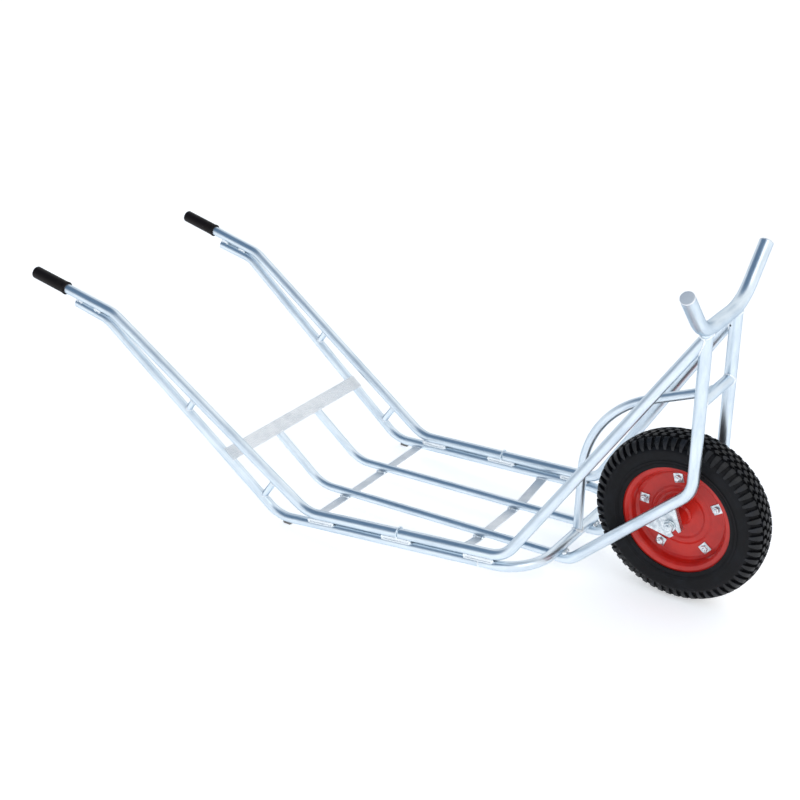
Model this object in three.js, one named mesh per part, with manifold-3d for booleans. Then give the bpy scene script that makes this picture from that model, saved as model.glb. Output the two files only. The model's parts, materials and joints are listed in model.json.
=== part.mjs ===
// Single-wheel game cart: a welded aluminium tube frame with two handles, a low bed,
// a fork with a cradle tube on top, and one pneumatic wheel on a fixed axle.
// Millimetres. The frame is drawn level about the axle centre (+X forward, +Z up, right hand
// side at -Y) and is then pitched nose up until tyre and skid pads stand on one floor.
import * as THREE from "three";
import { mergeVertices } from "three/addons/utils/BufferGeometryUtils.js";
import Module from "manifold-3d";

const wasm = await Module();
wasm.setup();

// Fits
const gap = 0.3; // clearance left at every welded or seated joint
const wall = 2; // tube wall
const roundSides = 14; // facets round a tube
const boreSides = 8; // facets round the inside of a tube
const boreFlat = Math.cos(Math.PI / boreSides); // half width across the flats, as a share

// Tube diameters
const railDiameter = 23; // upper side rails, which are also the handles
const lowerDiameter = 22; // lower side rails and the loop across the front
const barDiameter = 19; // middle bars of the bed
const spacerDiameter = 15; // short stubs between the rails on the slope
const legDiameter = 24; // fork legs
const crossDiameter = 23; // tube across the fork
const archDiameter = 19.5; // mudguard arch behind the wheel
const cradleDiameter = 28; // cradle on top of the fork

// Side view of the frame, from the axle centre
const gripEndX = -1523;
const gripEndZ = 413.5;
const handleBendX = -1286;
const handleBendZ = 339;
const bedRearX = -790; // upper rail bend at the foot of the slope
const bedFrontX = -297; // upper rail bend at the foot of the diagonal
const bedDrop = 73.4; // upper bed rail below the axle
const railPitch = 24; // lower bed rail below the upper one
const stubLength = 98; // open end of the lower rail under the handle
const stubPitch = 24.3; // lower rail below the handle, square to it
const lowerRearX = -872; // lower rail bend at the foot of the slope
const lowerHandleX = -1310; // lower rail bend below the handle
const splitX = -354; // side rail and front loop meet under the front spacer bar
const loopX = -238.5; // centre of the loop across the front
const legDrop = 124; // rear run of the fork leg below the axle
const legRearX = -252; // the leg takes over from the middle bar here
const legFrontX = -218; // bend where the leg starts to climb
const hubBendX = 53.3;
const hubBendZ = 88.8;
const cradleX = 84;
const cradleZ = 422;
const crossZ = 276.5;
const diagonalTopZ = 408; // the diagonals meet the fork legs here
const archBendX = -203.5;
const archBendZ = 192.5;
const barRearX = -735; // the middle bars fall towards the fork
const barRearZ = -96.5;
const barFrontZ = -118;

// Half widths of the frame, along the side rails
const gripHalf = 256.8;
const handleHalf = 249.3;
const bedRearHalf = 224.5;
const bedFrontHalf = 198;
const legHalf = 68; // fork legs
const barHalf = 71.5; // middle bars
const cradleBendHalf = 88;
const cradleEndHalf = 176;

// Bend radii, on the tube centre
const handleRadius = 70;
const slopeRadius = 85;
const diagonalRadius = 62;
const loopRadius = 88;
const legRadius = 46;
const hubRadius = 62;
const cradleRadius = 48;
const archRadius = 222;

// Wheel
const tyreRadius = 181;
const tyreHalf = 39;
const flangeRadius = 114.5; // outside of the rim flange, eight inch bead seat
const seatRadius = 101.6;
const flangeHalf = 29;
const rimSheet = 2;
const boltCircle = 80.6;
const boltCount = 5;
const boltPhase = 20.7; // degrees, first bolt from +X in the level frame
const hubRadiusOut = 18;
const hubHalf = 42;
const axleRadius = 6;
const bearingRadius = 16;
const bearingWidth = 10;

const aluminium = new THREE.MeshStandardMaterial({ color: 0xc9ced4, roughness: 0.35, metalness: 1 });
const zinc = new THREE.MeshStandardMaterial({ color: 0xd9dde0, roughness: 0.3, metalness: 1 });
const steel = new THREE.MeshStandardMaterial({ color: 0x9aa0a6, roughness: 0.4, metalness: 1 });
const paint = new THREE.MeshStandardMaterial({ color: 0xd5190f, roughness: 0.25, metalness: 0 });
const rubber = new THREE.MeshStandardMaterial({ color: 0x15151a, roughness: 0.8, metalness: 0 });
const vinyl = new THREE.MeshStandardMaterial({ color: 0x100f12, roughness: 0.6, metalness: 0 });

const level = new THREE.Group();
const degrees = Math.PI / 180;

// A tube centre line: straight runs joined by arcs, with stations only where the line turns.
class BentLine extends THREE.Curve {
  constructor(corners, radii, arcStations = 5) {
    super();
    const points = corners.map((c) => new THREE.Vector3(...c));
    this.stations = [];
    this.tangents = [];
    const ahead = (i) => points[i + 1].clone().sub(points[i]).normalize();
    this.put(points[0], ahead(0));
    for (let i = 1; i < points.length - 1; i++) {
      const before = ahead(i - 1);
      const after = ahead(i);
      const turn = before.angleTo(after);
      const radius = radii[i - 1];
      const back = radius * Math.tan(turn / 2);
      const axis = before.clone().cross(after).normalize();
      const inward = axis.clone().cross(before);
      const start = points[i].clone().addScaledVector(before, -back);
      const centre = start.clone().addScaledVector(inward, radius);
      for (let k = 0; k <= arcStations; k++) {
        const angle = (turn * k) / arcStations;
        const spoke = start.clone().sub(centre).applyAxisAngle(axis, angle);
        this.put(centre.clone().add(spoke), before.clone().applyAxisAngle(axis, angle));
      }
    }
    this.put(points.at(-1), ahead(points.length - 2));
  }
  put(point, tangent) {
    this.stations.push(point);
    this.tangents.push(tangent);
  }
  get steps() {
    return this.stations.length - 1;
  }
  between(list, u) {
    const at = Math.min(Math.max(u, 0), 1) * this.steps;
    const i = Math.min(Math.floor(at + 1e-9), this.steps - 1);
    return list[i].clone().lerp(list[i + 1], at - i);
  }
  getPointAt(u) {
    return this.between(this.stations, u);
  }
  getPoint(u) {
    return this.between(this.stations, u);
  }
  getTangentAt(u) {
    return this.between(this.tangents, u).normalize();
  }
}

function solidOf(geometry) {
  const plain = geometry.index ? geometry.toNonIndexed() : geometry.clone();
  plain.deleteAttribute("normal");
  plain.deleteAttribute("uv");
  const merged = mergeVertices(plain, 1e-3);
  const triVerts = new Uint32Array(merged.index.array);
  const build = () =>
    new wasm.Manifold(
      new wasm.Mesh({ numProp: 3, vertProperties: merged.attributes.position.array, triVerts }),
    );
  const first = build();
  if (first.volume() > 0) return first;
  for (let i = 0; i < triVerts.length; i += 3) {
    [triVerts[i + 1], triVerts[i + 2]] = [triVerts[i + 2], triVerts[i + 1]];
  }
  return build();
}

function geometryOf(solid) {
  const mesh = solid.getMesh();
  const positions = new Float32Array(mesh.numVert * 3);
  for (let i = 0; i < mesh.numVert; i++) {
    const from = i * mesh.numProp;
    positions.set(mesh.vertProperties.subarray(from, from + 3), i * 3);
  }
  return new THREE.BufferGeometry()
    .setAttribute("position", new THREE.BufferAttribute(positions, 3))
    .setIndex(new THREE.BufferAttribute(mesh.triVerts, 1));
}

function add(name, solid, material) {
  const geometry = geometryOf(solid).toNonIndexed();
  geometry.computeVertexNormals();
  const mesh = new THREE.Mesh(geometry, material);
  mesh.name = name;
  level.add(mesh);
}

// A cut can leave a crumb behind the neighbour; the piece is the largest body.
const largestOf = (solid) => solid.decompose().sort((a, b) => b.volume() - a.volume())[0];

function circle(radius, sides = roundSides) {
  return Array.from({ length: sides }, (_, i) => {
    const a = ((i + 0.5) / sides) * 2 * Math.PI;
    return new THREE.Vector2(radius * Math.cos(a), radius * Math.sin(a));
  });
}

function sweep(line, outline, hole) {
  const shape = new THREE.Shape(outline);
  if (hole) shape.holes.push(new THREE.Path([...hole].reverse()));
  return solidOf(new THREE.ExtrudeGeometry(shape, { steps: line.steps, extrudePath: line }));
}

const tube = (line, diameter) =>
  sweep(line, circle(diameter / 2), circle(diameter / 2 - wall, boreSides));
const rod = (line, diameter, sides) => sweep(line, circle(diameter / 2, sides));
const cutter = (line, diameter) => rod(line, diameter + 2 * gap);

function block(x, y, z, at = [0, 0, 0], turn = [0, 0, 0]) {
  const geometry = new THREE.BoxGeometry(x, y, z);
  geometry.applyMatrix4(new THREE.Matrix4().makeRotationFromEuler(new THREE.Euler(...turn)));
  geometry.translate(...at);
  return solidOf(geometry);
}

// A turned piece on the wheel axis: profile points are [radius, place along +Y].
function turned(profile, segments) {
  const closed = [...profile, profile[0]].map(([r, y]) => new THREE.Vector2(r, y));
  return solidOf(new THREE.LatheGeometry(closed, segments));
}

function ring(outer, inner, from, to, segments = 24) {
  return turned(
    [
      [inner, from],
      [outer, from],
      [outer, to],
      [inner, to],
    ],
    segments,
  );
}

const sides = [
  ["left", 1],
  ["right", -1],
];

// Heights and half widths read off the frame lines
const along = (a, b, x) => a[1] + ((b[1] - a[1]) * (x - a[0])) / (b[0] - a[0]);
const crossing = (f, g, a, b) => a + ((b - a) * (g(a) - f(a))) / (g(a) - f(a) + f(b) - g(b));
const bedZ = -bedDrop;
const lowerZ = bedZ - railPitch;
const handleAngle = Math.atan2(gripEndZ - handleBendZ, handleBendX - gripEndX);
const bedHalfAt = (x) => along([bedRearX, bedRearHalf], [bedFrontX, bedFrontHalf], x);
const slopeHalfAt = (x) => along([handleBendX, handleHalf], [bedRearX, bedRearHalf], x);
const upperSlopeAt = (x) => along([handleBendX, handleBendZ], [bedRearX, bedZ], x);
const handleLineAt = (x) => along([gripEndX, gripEndZ], [handleBendX, handleBendZ], x);
const lowerHandleZ = handleLineAt(lowerHandleX) - stubPitch / Math.cos(handleAngle);
const lowerSlopeAt = (x) => along([lowerHandleX, lowerHandleZ], [lowerRearX, lowerZ], x);
const lowerAngle = Math.atan2(lowerHandleZ - lowerZ, lowerRearX - lowerHandleX);

// Fork legs and the cradle across their tops
const legLean = (cradleX - hubBendX) / (cradleZ - hubBendZ);
const legXAt = (z) => hubBendX + (z - hubBendZ) * legLean;
const legLines = {};
for (const [side, s] of sides) {
  legLines[side] = new BentLine(
    [
      [legRearX, s * legHalf, -legDrop],
      [legFrontX, s * legHalf, -legDrop],
      [hubBendX, s * legHalf, hubBendZ],
      [cradleX, s * legHalf, cradleZ],
    ],
    [legRadius, hubRadius],
  );
}
const cradleTipX = cradleX + 11.5;
const cradleTipZ = cradleZ + 95.4;
const cradleLine = new BentLine(
  [
    [cradleTipX, -cradleEndHalf, cradleTipZ],
    [cradleX, -cradleBendHalf, cradleZ],
    [cradleX, cradleBendHalf, cradleZ],
    [cradleTipX, cradleEndHalf, cradleTipZ],
  ],
  [cradleRadius, cradleRadius],
);
const cradleCut = cutter(cradleLine, cradleDiameter);
const legCuts = {};
const notchX = -228; // open notch in the top of each leg, just in front of the loop
const notchDiameter = 8;
for (const [side, s] of sides) {
  legCuts[side] = cutter(legLines[side], legDiameter);
  const notchLine = new BentLine(
    [
      [notchX, s * legHalf, -legDrop],
      [notchX, s * legHalf, -legDrop + legDiameter],
    ],
    [],
  );
  const leg = tube(legLines[side], legDiameter)
    .subtract(cradleCut)
    .subtract(rod(notchLine, notchDiameter, 10));
  add("fork_leg_" + side, leg, aluminium);
}
add("cradle_tube", tube(cradleLine, cradleDiameter), aluminium);

// Flat discs close the cradle ends, set inside the tube mouth with a rim that covers its edge
const capRim = 3;
const capPlug = 10;
for (const [side, s] of sides) {
  const out = new THREE.Vector3(
    cradleTipX - cradleX,
    s * (cradleEndHalf - cradleBendHalf),
    cradleTipZ - cradleZ,
  ).normalize();
  const cap = ring(cradleDiameter / 2, 0, gap, capRim, 28);
  const plugRadius = (cradleDiameter / 2 - wall) * boreFlat - gap;
  const plug = ring(plugRadius, 0, -capPlug, gap + 0.5, 28);
  const turn = new THREE.Quaternion().setFromUnitVectors(new THREE.Vector3(0, 1, 0), out);
  const place = new THREE.Matrix4().makeRotationFromQuaternion(turn);
  place.setPosition(cradleTipX, s * cradleEndHalf, cradleTipZ);
  add("cradle_cap_" + side, cap.add(plug).transform(place.elements), aluminium);
}

// Tube across the fork, above the tyre
const crossLine = new BentLine(
  [
    [legXAt(crossZ), -legHalf, crossZ],
    [legXAt(crossZ), legHalf, crossZ],
  ],
  [],
);
const crossCut = cutter(crossLine, crossDiameter);
add(
  "fork_cross_tube",
  tube(crossLine, crossDiameter).subtract(legCuts.left).subtract(legCuts.right),
  aluminium,
);

// Front loop: the lower rails turn across the cart and meet
const loopHalf = bedHalfAt(loopX);
const splitHalf = bedHalfAt(splitX);
const loopLine = new BentLine(
  [
    [splitX + gap / 2, -splitHalf, lowerZ],
    [loopX, -loopHalf, lowerZ],
    [loopX, loopHalf, lowerZ],
    [splitX + gap / 2, splitHalf, lowerZ],
  ],
  [loopRadius, loopRadius],
  8,
);
const loopCut = cutter(loopLine, lowerDiameter);
add("front_loop_tube", tube(loopLine, lowerDiameter), aluminium);

// Side rails
const upperCuts = {};
const lowerCuts = {};
const stubEndX = lowerHandleX - stubLength * Math.cos(handleAngle);
const stubEndZ = lowerHandleZ + stubLength * Math.sin(handleAngle);
for (const [side, s] of sides) {
  const upperLine = new BentLine(
    [
      [gripEndX, s * gripHalf, gripEndZ],
      [handleBendX, s * handleHalf, handleBendZ],
      [bedRearX, s * bedRearHalf, bedZ],
      [bedFrontX, s * bedFrontHalf, bedZ],
      [legXAt(diagonalTopZ), s * legHalf, diagonalTopZ],
    ],
    [handleRadius, slopeRadius, diagonalRadius],
  );
  const lowerLine = new BentLine(
    [
      [stubEndX, s * handleHalf, stubEndZ],
      [lowerHandleX, s * handleHalf, lowerHandleZ],
      [lowerRearX, s * slopeHalfAt(lowerRearX), lowerZ],
      [splitX - gap / 2, s * splitHalf, lowerZ],
    ],
    [handleRadius, slopeRadius],
  );
  upperCuts[side] = cutter(upperLine, railDiameter);
  lowerCuts[side] = cutter(lowerLine, lowerDiameter);
  add(
    "upper_rail_" + side,
    tube(upperLine, railDiameter).subtract(legCuts[side]).subtract(cradleCut),
    aluminium,
  );
  add("lower_rail_" + side, tube(lowerLine, lowerDiameter), aluminium);
}

// Cross plate: a flat ribbed bar on top of the lower rails, half way up the slope
const plateWidth = 34;
const plateThick = 3;
const ribCount = 7;
const ribHeight = 0.8;
const plateX = -1001;
const plateLift = lowerDiameter / 2 + gap + plateThick / 2;
const plateCentre = [
  plateX + plateLift * Math.sin(lowerAngle),
  0,
  lowerSlopeAt(plateX) + plateLift * Math.cos(lowerAngle),
];
const plateSpan = 2 * (slopeHalfAt(plateX) + 4);
let plate = block(plateWidth, plateSpan, plateThick);
for (let i = 0; i < ribCount; i++) {
  const across = (i - (ribCount - 1) / 2) * (plateWidth / ribCount);
  const lift = plateThick / 2 + ribHeight / 2 - 0.1;
  plate = plate.add(block(2.6, plateSpan, ribHeight, [across, 0, lift]));
}
const plateTurn = new THREE.Matrix4().makeRotationY(lowerAngle);
plateTurn.setPosition(...plateCentre);
add("cross_plate", plate.transform(plateTurn.elements), aluminium);

// Middle bars: from the front edge of the plate, down the slope, along the bed to the fork legs
const plateCut = block(plateWidth + 2 * gap, plateSpan, plateThick + 2 * gap).transform(
  plateTurn.elements,
);
const barSink = plateLift + plateThick / 2 - barDiameter / 2; // bar line above the rail line
const barTopX = plateX + plateWidth / 2 - 4;
const barSlopeAt = (x) => lowerSlopeAt(x) + barSink / Math.cos(lowerAngle);
const barBedAt = (x) => along([barRearX, barRearZ], [legRearX, barFrontZ], x);
const barFootX = crossing(barSlopeAt, barBedAt, lowerHandleX, lowerRearX);
for (const [side, s] of sides) {
  const line = new BentLine(
    [
      [barTopX, s * barHalf, barSlopeAt(barTopX)],
      [barFootX, s * barHalf, barBedAt(barFootX)],
      [legRearX - gap, s * barHalf, barBedAt(legRearX - gap)],
    ],
    [slopeRadius],
  );
  const bar = tube(line, barDiameter).subtract(plateCut).subtract(loopCut);
  add("middle_bar_" + side, largestOf(bar), aluminium);
}

// Cross strips: flat bars that dip under the middle bars and rise to the lower rails
const stripWidth = 24;
const stripThick = 3;
const stripGap = 2; // filled by the weld under each bar
const stripSeat = 7; // strip ends meet the side rails this far under their centre line
for (const [place, x] of [
  ["rear", -803],
  ["front", -438],
]) {
  const reach = bedHalfAt(x) - 2;
  const low = barBedAt(x) - barDiameter / 2 - stripGap - stripThick / 2;
  const rise = Math.max(lowerZ - stripSeat - low, 0.5);
  const line = new BentLine(
    [
      [x, -reach, low + rise],
      [x, -barHalf - 22, low],
      [x, barHalf + 22, low],
      [x, reach, low + rise],
    ],
    [60, 60],
    3,
  );
  const half = [stripWidth / 2, stripThick / 2];
  const probe = line.computeFrenetFrames(line.steps, false).normals[0];
  const flat = Math.abs(probe.x) > 0.5 ? [half[0], half[1]] : [half[1], half[0]];
  const outline = [
    new THREE.Vector2(-flat[0], -flat[1]),
    new THREE.Vector2(flat[0], -flat[1]),
    new THREE.Vector2(flat[0], flat[1]),
    new THREE.Vector2(-flat[0], flat[1]),
  ];
  const strip = sweep(line, outline).subtract(lowerCuts.left).subtract(lowerCuts.right);
  add("cross_strip_" + place, largestOf(strip), aluminium);
}

// Arch behind the wheel, from the front loop to the fork cross tube
const archLine = new BentLine(
  [
    [loopX, 0, lowerZ],
    [archBendX, 0, archBendZ],
    [legXAt(crossZ), 0, crossZ],
  ],
  [archRadius],
  9,
);
add("arch_tube", tube(archLine, archDiameter).subtract(loopCut).subtract(crossCut), aluminium);

// Short pieces between the upper and lower rails
const barLengths = [
  [-751, 62],
  [-554, 68],
  [splitX, 64],
];
const webHeight = 20;
const webWidth = 17;
const hookX = -549;
const hookWire = 3.2;
const hookFoot = 4; // hook ends below the rail centre line
for (const [side, s] of sides) {
  const cuts = [upperCuts[side], lowerCuts[side], loopCut, legCuts[side]];
  const cope = (solid) => cuts.reduce((left, cut) => left.subtract(cut), solid);

  [-1088, -892].forEach((x, i) => {
    const lean = (lowerAngle + Math.atan2(handleBendZ - bedZ, bedRearX - handleBendX)) / 2;
    const top = upperSlopeAt(x);
    const rise = top - lowerSlopeAt(x);
    const half = slopeHalfAt(x);
    const reach = (rise * Math.cos(lean)) / 2;
    const middle = [x, s * half, top - rise / 2];
    const dx = Math.sin(lean) * reach;
    const dz = Math.cos(lean) * reach;
    const stub = rod(
      new BentLine(
        [
          [middle[0] - dx, middle[1], middle[2] - dz],
          [middle[0] + dx, middle[1], middle[2] + dz],
        ],
        [],
      ),
      spacerDiameter,
      16,
    );
    add("slope_spacer_" + ["upper_", "lower_"][i] + side, cope(stub), aluminium);
  });

  barLengths.forEach(([x, length], i) => {
    const yaw = s * Math.atan2(bedFrontHalf - bedRearHalf, bedFrontX - bedRearX);
    const middleZ = bedZ - railDiameter / 2 - (railPitch - railDiameter / 2 - lowerDiameter / 2) / 2;
    const web = block(length, webWidth, webHeight, [x, s * bedHalfAt(x), middleZ], [0, 0, yaw]);
    add("bed_spacer_" + (i + 1) + "_" + side, cope(web), aluminium);
  });

  [14, stubLength - 26].forEach((back, i) => {
    const fromBend = stubLength - back;
    const x = lowerHandleX - fromBend * Math.cos(handleAngle);
    const z = handleLineAt(x) - stubPitch / 2 / Math.cos(handleAngle);
    const half = handleHalf + 1;
    const lug = block(18, 11, 15, [x, s * half, z], [0, handleAngle, 0]);
    add("handle_lug_" + ["rear_", "front_"][i] + side, cope(lug), aluminium);
  });

  const hookHalf = bedHalfAt(hookX);
  const hookSpan = railDiameter / 2 + gap + hookWire / 2;
  const crown = bedZ + railDiameter / 2 + gap + hookWire / 2;
  const foot = bedZ - hookFoot;
  const hook = rod(
    new BentLine(
      [
        [hookX, s * hookHalf - hookSpan, foot],
        [hookX, s * hookHalf - hookSpan, crown],
        [hookX, s * hookHalf + hookSpan, crown],
        [hookX, s * hookHalf + hookSpan, foot],
      ],
      [hookSpan - 0.2, hookSpan - 0.2],
      5,
    ),
    hookWire,
    8,
  );
  add("rope_hook_" + side, hook, aluminium);
}

// Skid pads under the rear bends of the lower rails, their soles flat on the floor that the
// tyre stands on
const padLength = 20;
const padWidth = 12;
const padThick = 3;
const padWrap = 5; // how far the pad reaches up round the rail
const padX = lowerRearX + 22;
const soleZ = lowerZ - lowerDiameter / 2 - padThick;
const pitch = Math.asin(tyreRadius / Math.hypot(padX, soleZ)) - Math.atan2(-soleZ, -padX);
for (const [side, s] of sides) {
  const pad = block(padLength, padWidth, padThick + padWrap, [0, 0, (padThick + padWrap) / 2]);
  const place = new THREE.Matrix4().makeRotationY(pitch);
  place.setPosition(padX, s * slopeHalfAt(padX), soleZ);
  add("skid_pad_" + side, pad.transform(place.elements).subtract(lowerCuts[side]), rubber);
}

// Grips: closed sleeves over the handle ends
const gripLength = 100;
const gripDiameter = 29.5;
const gripEnd = 3;
for (const [side, s] of sides) {
  const run = new THREE.Vector3(
    gripEndX - handleBendX,
    s * (gripHalf - handleHalf),
    gripEndZ - handleBendZ,
  ).normalize();
  const tip = new THREE.Vector3(gripEndX, s * gripHalf, gripEndZ);
  const place = new THREE.Matrix4().makeRotationFromQuaternion(
    new THREE.Quaternion().setFromUnitVectors(new THREE.Vector3(0, 1, 0), run),
  );
  place.setPosition(tip.x, tip.y, tip.z);
  const outer = gripDiameter / 2;
  const bore = railDiameter / 2 + gap;
  const grip = turned(
    [
      [bore, -gripLength],
      [outer + 1, -gripLength],
      [outer + 1, -gripLength + 3],
      [outer, -gripLength + 5],
      [outer, gripEnd - 3],
      [outer - 3, gripEnd],
      [0.001, gripEnd],
      [0.001, gap],
      [bore, gap],
    ],
    28,
  );
  add("grip_" + side, grip.transform(place.elements), vinyl);
}

// Axle brackets: slotted plates on the inner sides of the legs, with a stiffening flange
const legAngle = Math.atan2(hubBendZ + legDrop, hubBendX - legFrontX);
const legOffset = Math.cos(legAngle) * (hubBendZ - hubBendX * Math.tan(legAngle));
const bracketThick = 4.5;
const bracketIn = legHalf - legDiameter / 2 - gap - bracketThick;
const bracketFoot = -21;
const slotHalf = axleRadius + gap;
const flangeDepth = 13;
const flangeThick = 3;
const webRear = 49;
const webFrontTop = 33;
const webFrontFoot = 14;
const webShoulder = legOffset - legDiameter / 2 - 2; // the web runs square to the leg above this
for (const [side, s] of sides) {
  const outline = new THREE.Shape();
  outline.moveTo(-webRear - 2, legOffset + 4);
  outline.lineTo(-webRear, webShoulder);
  outline.lineTo(-17, bracketFoot);
  outline.lineTo(-slotHalf, bracketFoot);
  outline.lineTo(-slotHalf, 0);
  outline.absarc(0, 0, slotHalf, Math.PI, 0, true);
  outline.lineTo(slotHalf, bracketFoot);
  outline.lineTo(webFrontFoot, bracketFoot);
  outline.lineTo(webFrontTop, webShoulder);
  outline.lineTo(webFrontTop + 2, legOffset + 4);
  const web = new THREE.ExtrudeGeometry(outline, {
    depth: bracketThick,
    bevelEnabled: false,
    curveSegments: 10,
  });
  let bracket = solidOf(web);
  const edge = new THREE.Vector2(webFrontTop - webFrontFoot, webShoulder - bracketFoot);
  const lean = Math.atan2(edge.y, edge.x);
  const flange = block(
    edge.length(),
    flangeThick,
    flangeDepth,
    [
      (webFrontTop + webFrontFoot) / 2 - (flangeThick / 2) * Math.sin(lean),
      bracketFoot + edge.y / 2 + (flangeThick / 2) * Math.cos(lean),
      flangeDepth / 2,
    ],
    [0, 0, lean],
  );
  // the web is drawn in its own plane: u along the leg, w square to it, depth towards the wheel
  bracket = bracket.add(flange);
  const u = new THREE.Vector3(Math.cos(legAngle), 0, Math.sin(legAngle));
  const w = new THREE.Vector3(-Math.sin(legAngle), 0, Math.cos(legAngle));
  const depth = new THREE.Vector3(0, -s, 0);
  const place = new THREE.Matrix4().makeBasis(u, w, depth);
  place.setPosition(0, s * (bracketIn + bracketThick), 0);
  add("axle_bracket_" + side, bracket.transform(place.elements), zinc);
}

// Axle with its nuts, fixed in the brackets
const nutWide = 19;
const nutThick = 10.5;
const nutFrom = bracketIn + bracketThick + gap;
const axleHalf = nutFrom + nutThick + 3;
const axleLine = new BentLine([[0, -axleHalf, 0], [0, axleHalf, 0]], []);
const axleCut = cutter(axleLine, 2 * axleRadius);
add("axle", rod(axleLine, 2 * axleRadius), zinc);
for (const [side, s] of sides) {
  const run = new BentLine([[0, s * nutFrom, 0], [0, s * (nutFrom + nutThick), 0]], []);
  add("axle_nut_" + side, rod(run, (2 * nutWide) / Math.sqrt(3), 6).subtract(axleCut), zinc);
}

// Wheel: tyre, tube, two pressed rim halves bolted together, hub and bearings
const tyreOutline = [
  [seatRadius + 0.8, flangeHalf - 10],
  [seatRadius + 3.6, flangeHalf - 5.9],
  [flangeRadius - 1, flangeHalf - 3.5],
  [flangeRadius + 1.5, flangeHalf - 1.5],
  [128, tyreHalf - 3.5],
  [144, tyreHalf],
  [160, tyreHalf - 1],
  [172, tyreHalf - 7],
  [178.5, tyreHalf - 19],
  [tyreRadius, 0],
];
const tyreWall = [
  [tyreRadius - 13, 0],
  [164, tyreHalf - 14],
  [148, tyreHalf - 7],
  [132, tyreHalf - 8],
  [118, flangeHalf - 9],
  [seatRadius + 0.8, flangeHalf - 16],
];
const mirrored = (points) => points.map(([r, y]) => [r, -y]);
add(
  "tyre",
  turned(
    [
      ...tyreOutline,
      ...mirrored(tyreOutline).reverse().slice(1),
      ...mirrored(tyreWall).reverse(),
      ...tyreWall.slice(1),
    ],
    44,
  ),
  rubber,
);

const tubeCentre = 136;
const tubeHeight = 26;
const tubeHalf = 22;
const oval = (grow) =>
  Array.from({ length: 10 }, (_, i) => {
    const a = (i / 10) * 2 * Math.PI;
    return [tubeCentre + (tubeHeight - grow) * Math.cos(a), (tubeHalf - grow) * Math.sin(a)];
  });
const onWheel = (radius, y, angle) => [radius * Math.cos(angle), y, radius * Math.sin(angle)];

// The valve leaves the tube between two bolts and passes through the left rim half
const valveAngle = (boltPhase + 36 + 72) * degrees;
const valveRoot = [tubeCentre - tubeHeight + 6, -4];
const valveTip = [84, 22];
const valveDiameter = 6.5;
const valveBore = 2.4;
const valveCapLength = 9;
const onValve = (t) => {
  const r = valveRoot[0] + (valveTip[0] - valveRoot[0]) * t;
  return onWheel(r, valveRoot[1] + (valveTip[1] - valveRoot[1]) * t, valveAngle);
};
const valveLength = Math.hypot(valveTip[0] - valveRoot[0], valveTip[1] - valveRoot[1]);
const valveLine = (from, to) => new BentLine([onValve(from), onValve(to)], []);
const capStart = 1 - valveCapLength / valveLength;
add(
  "inner_tube",
  turned(oval(0), 28)
    .add(rod(valveLine(0, 1), valveDiameter, 12))
    .subtract(turned(oval(2.5), 28))
    .subtract(rod(valveLine(-0.3, 1.1), valveBore, 8)),
  rubber,
);
const capEnd = 1 + 2.5 / valveLength;
const valveCap = rod(valveLine(capStart, capEnd), valveDiameter + 4, 12).subtract(
  rod(valveLine(capStart - 0.1, 1 + gap / valveLength), valveDiameter + 2 * gap, 12),
);
add("valve_cap", valveCap, vinyl);

// One rim half from the hub out: flat disc, step out to the bead seat, flange and rolled edge
const rimFace = [
  [hubRadiusOut + gap, 3],
  [46, 3],
  [50, 6],
  [62, 6],
  [66, 3],
  [seatRadius - 8.5, 3],
  [seatRadius - 5.5, 6],
  [seatRadius - 4, 9],
  [seatRadius - 2.2, flangeHalf - 9],
  [seatRadius + 1.5, flangeHalf - 3.5],
  [flangeRadius - 3, flangeHalf],
  [flangeRadius, flangeHalf - 1],
];
const rimBack = rimFace.map(([r, y], i) => {
  const before = rimFace[Math.max(i - 1, 0)];
  const after = rimFace[Math.min(i + 1, rimFace.length - 1)];
  const run = Math.hypot(after[0] - before[0], after[1] - before[1]);
  const nr = (after[1] - before[1]) / run;
  const ny = -(after[0] - before[0]) / run;
  return [r + nr * rimSheet, Math.max(y + ny * rimSheet, gap / 2)];
});
const boltHoles = [];
for (let i = 0; i < boltCount; i++) {
  const angle = (boltPhase + (i * 360) / boltCount) * degrees;
  boltHoles.push(onWheel(boltCircle, 0, angle));
}
const boltLine = (at, from, to) =>
  new BentLine([[at[0], from, at[2]], [at[0], to, at[2]]], []);
const boltDiameter = 8;
for (const [side, s] of sides) {
  let half = turned([...rimFace, ...[...rimBack].reverse()], 32);
  if (s < 0) half = half.mirror([0, 1, 0]);
  for (const at of boltHoles) {
    half = half.subtract(cutter(boltLine(at, -12, 12), boltDiameter));
  }
  if (s > 0) half = half.subtract(rod(valveLine(-0.2, 1), valveDiameter + 3, 12));
  add("rim_half_" + side, half, paint);
}

const washerWide = 20;
const washerThick = 1.8;
const rimStack = 3 + gap;
boltHoles.forEach((at, i) => {
  const spin = -(boltPhase + (i * 360) / boltCount + 8) * degrees;
  const hex = (radius, from, to) => {
    const line = boltLine(at, from, to);
    return rod(line, radius * 2, 6);
  };
  const head = hex(7.2, rimStack, rimStack + 5.5);
  const shank = rod(boltLine(at, -rimStack - washerThick - 9, rimStack + 0.5), boltDiameter, 12);
  add("rim_bolt_" + (i + 1), head.add(shank), zinc);
  const washer = block(
    washerWide,
    washerThick,
    washerWide,
    [at[0], -rimStack - washerThick / 2, at[2]],
    [0, spin, 0],
  );
  const nut = hex(7.2, -rimStack - washerThick - 6, -rimStack - washerThick + 0.2);
  const clampNut = washer.add(nut).subtract(cutter(boltLine(at, -20, 0), boltDiameter));
  add("rim_nut_" + (i + 1), clampNut, zinc);
});

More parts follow.
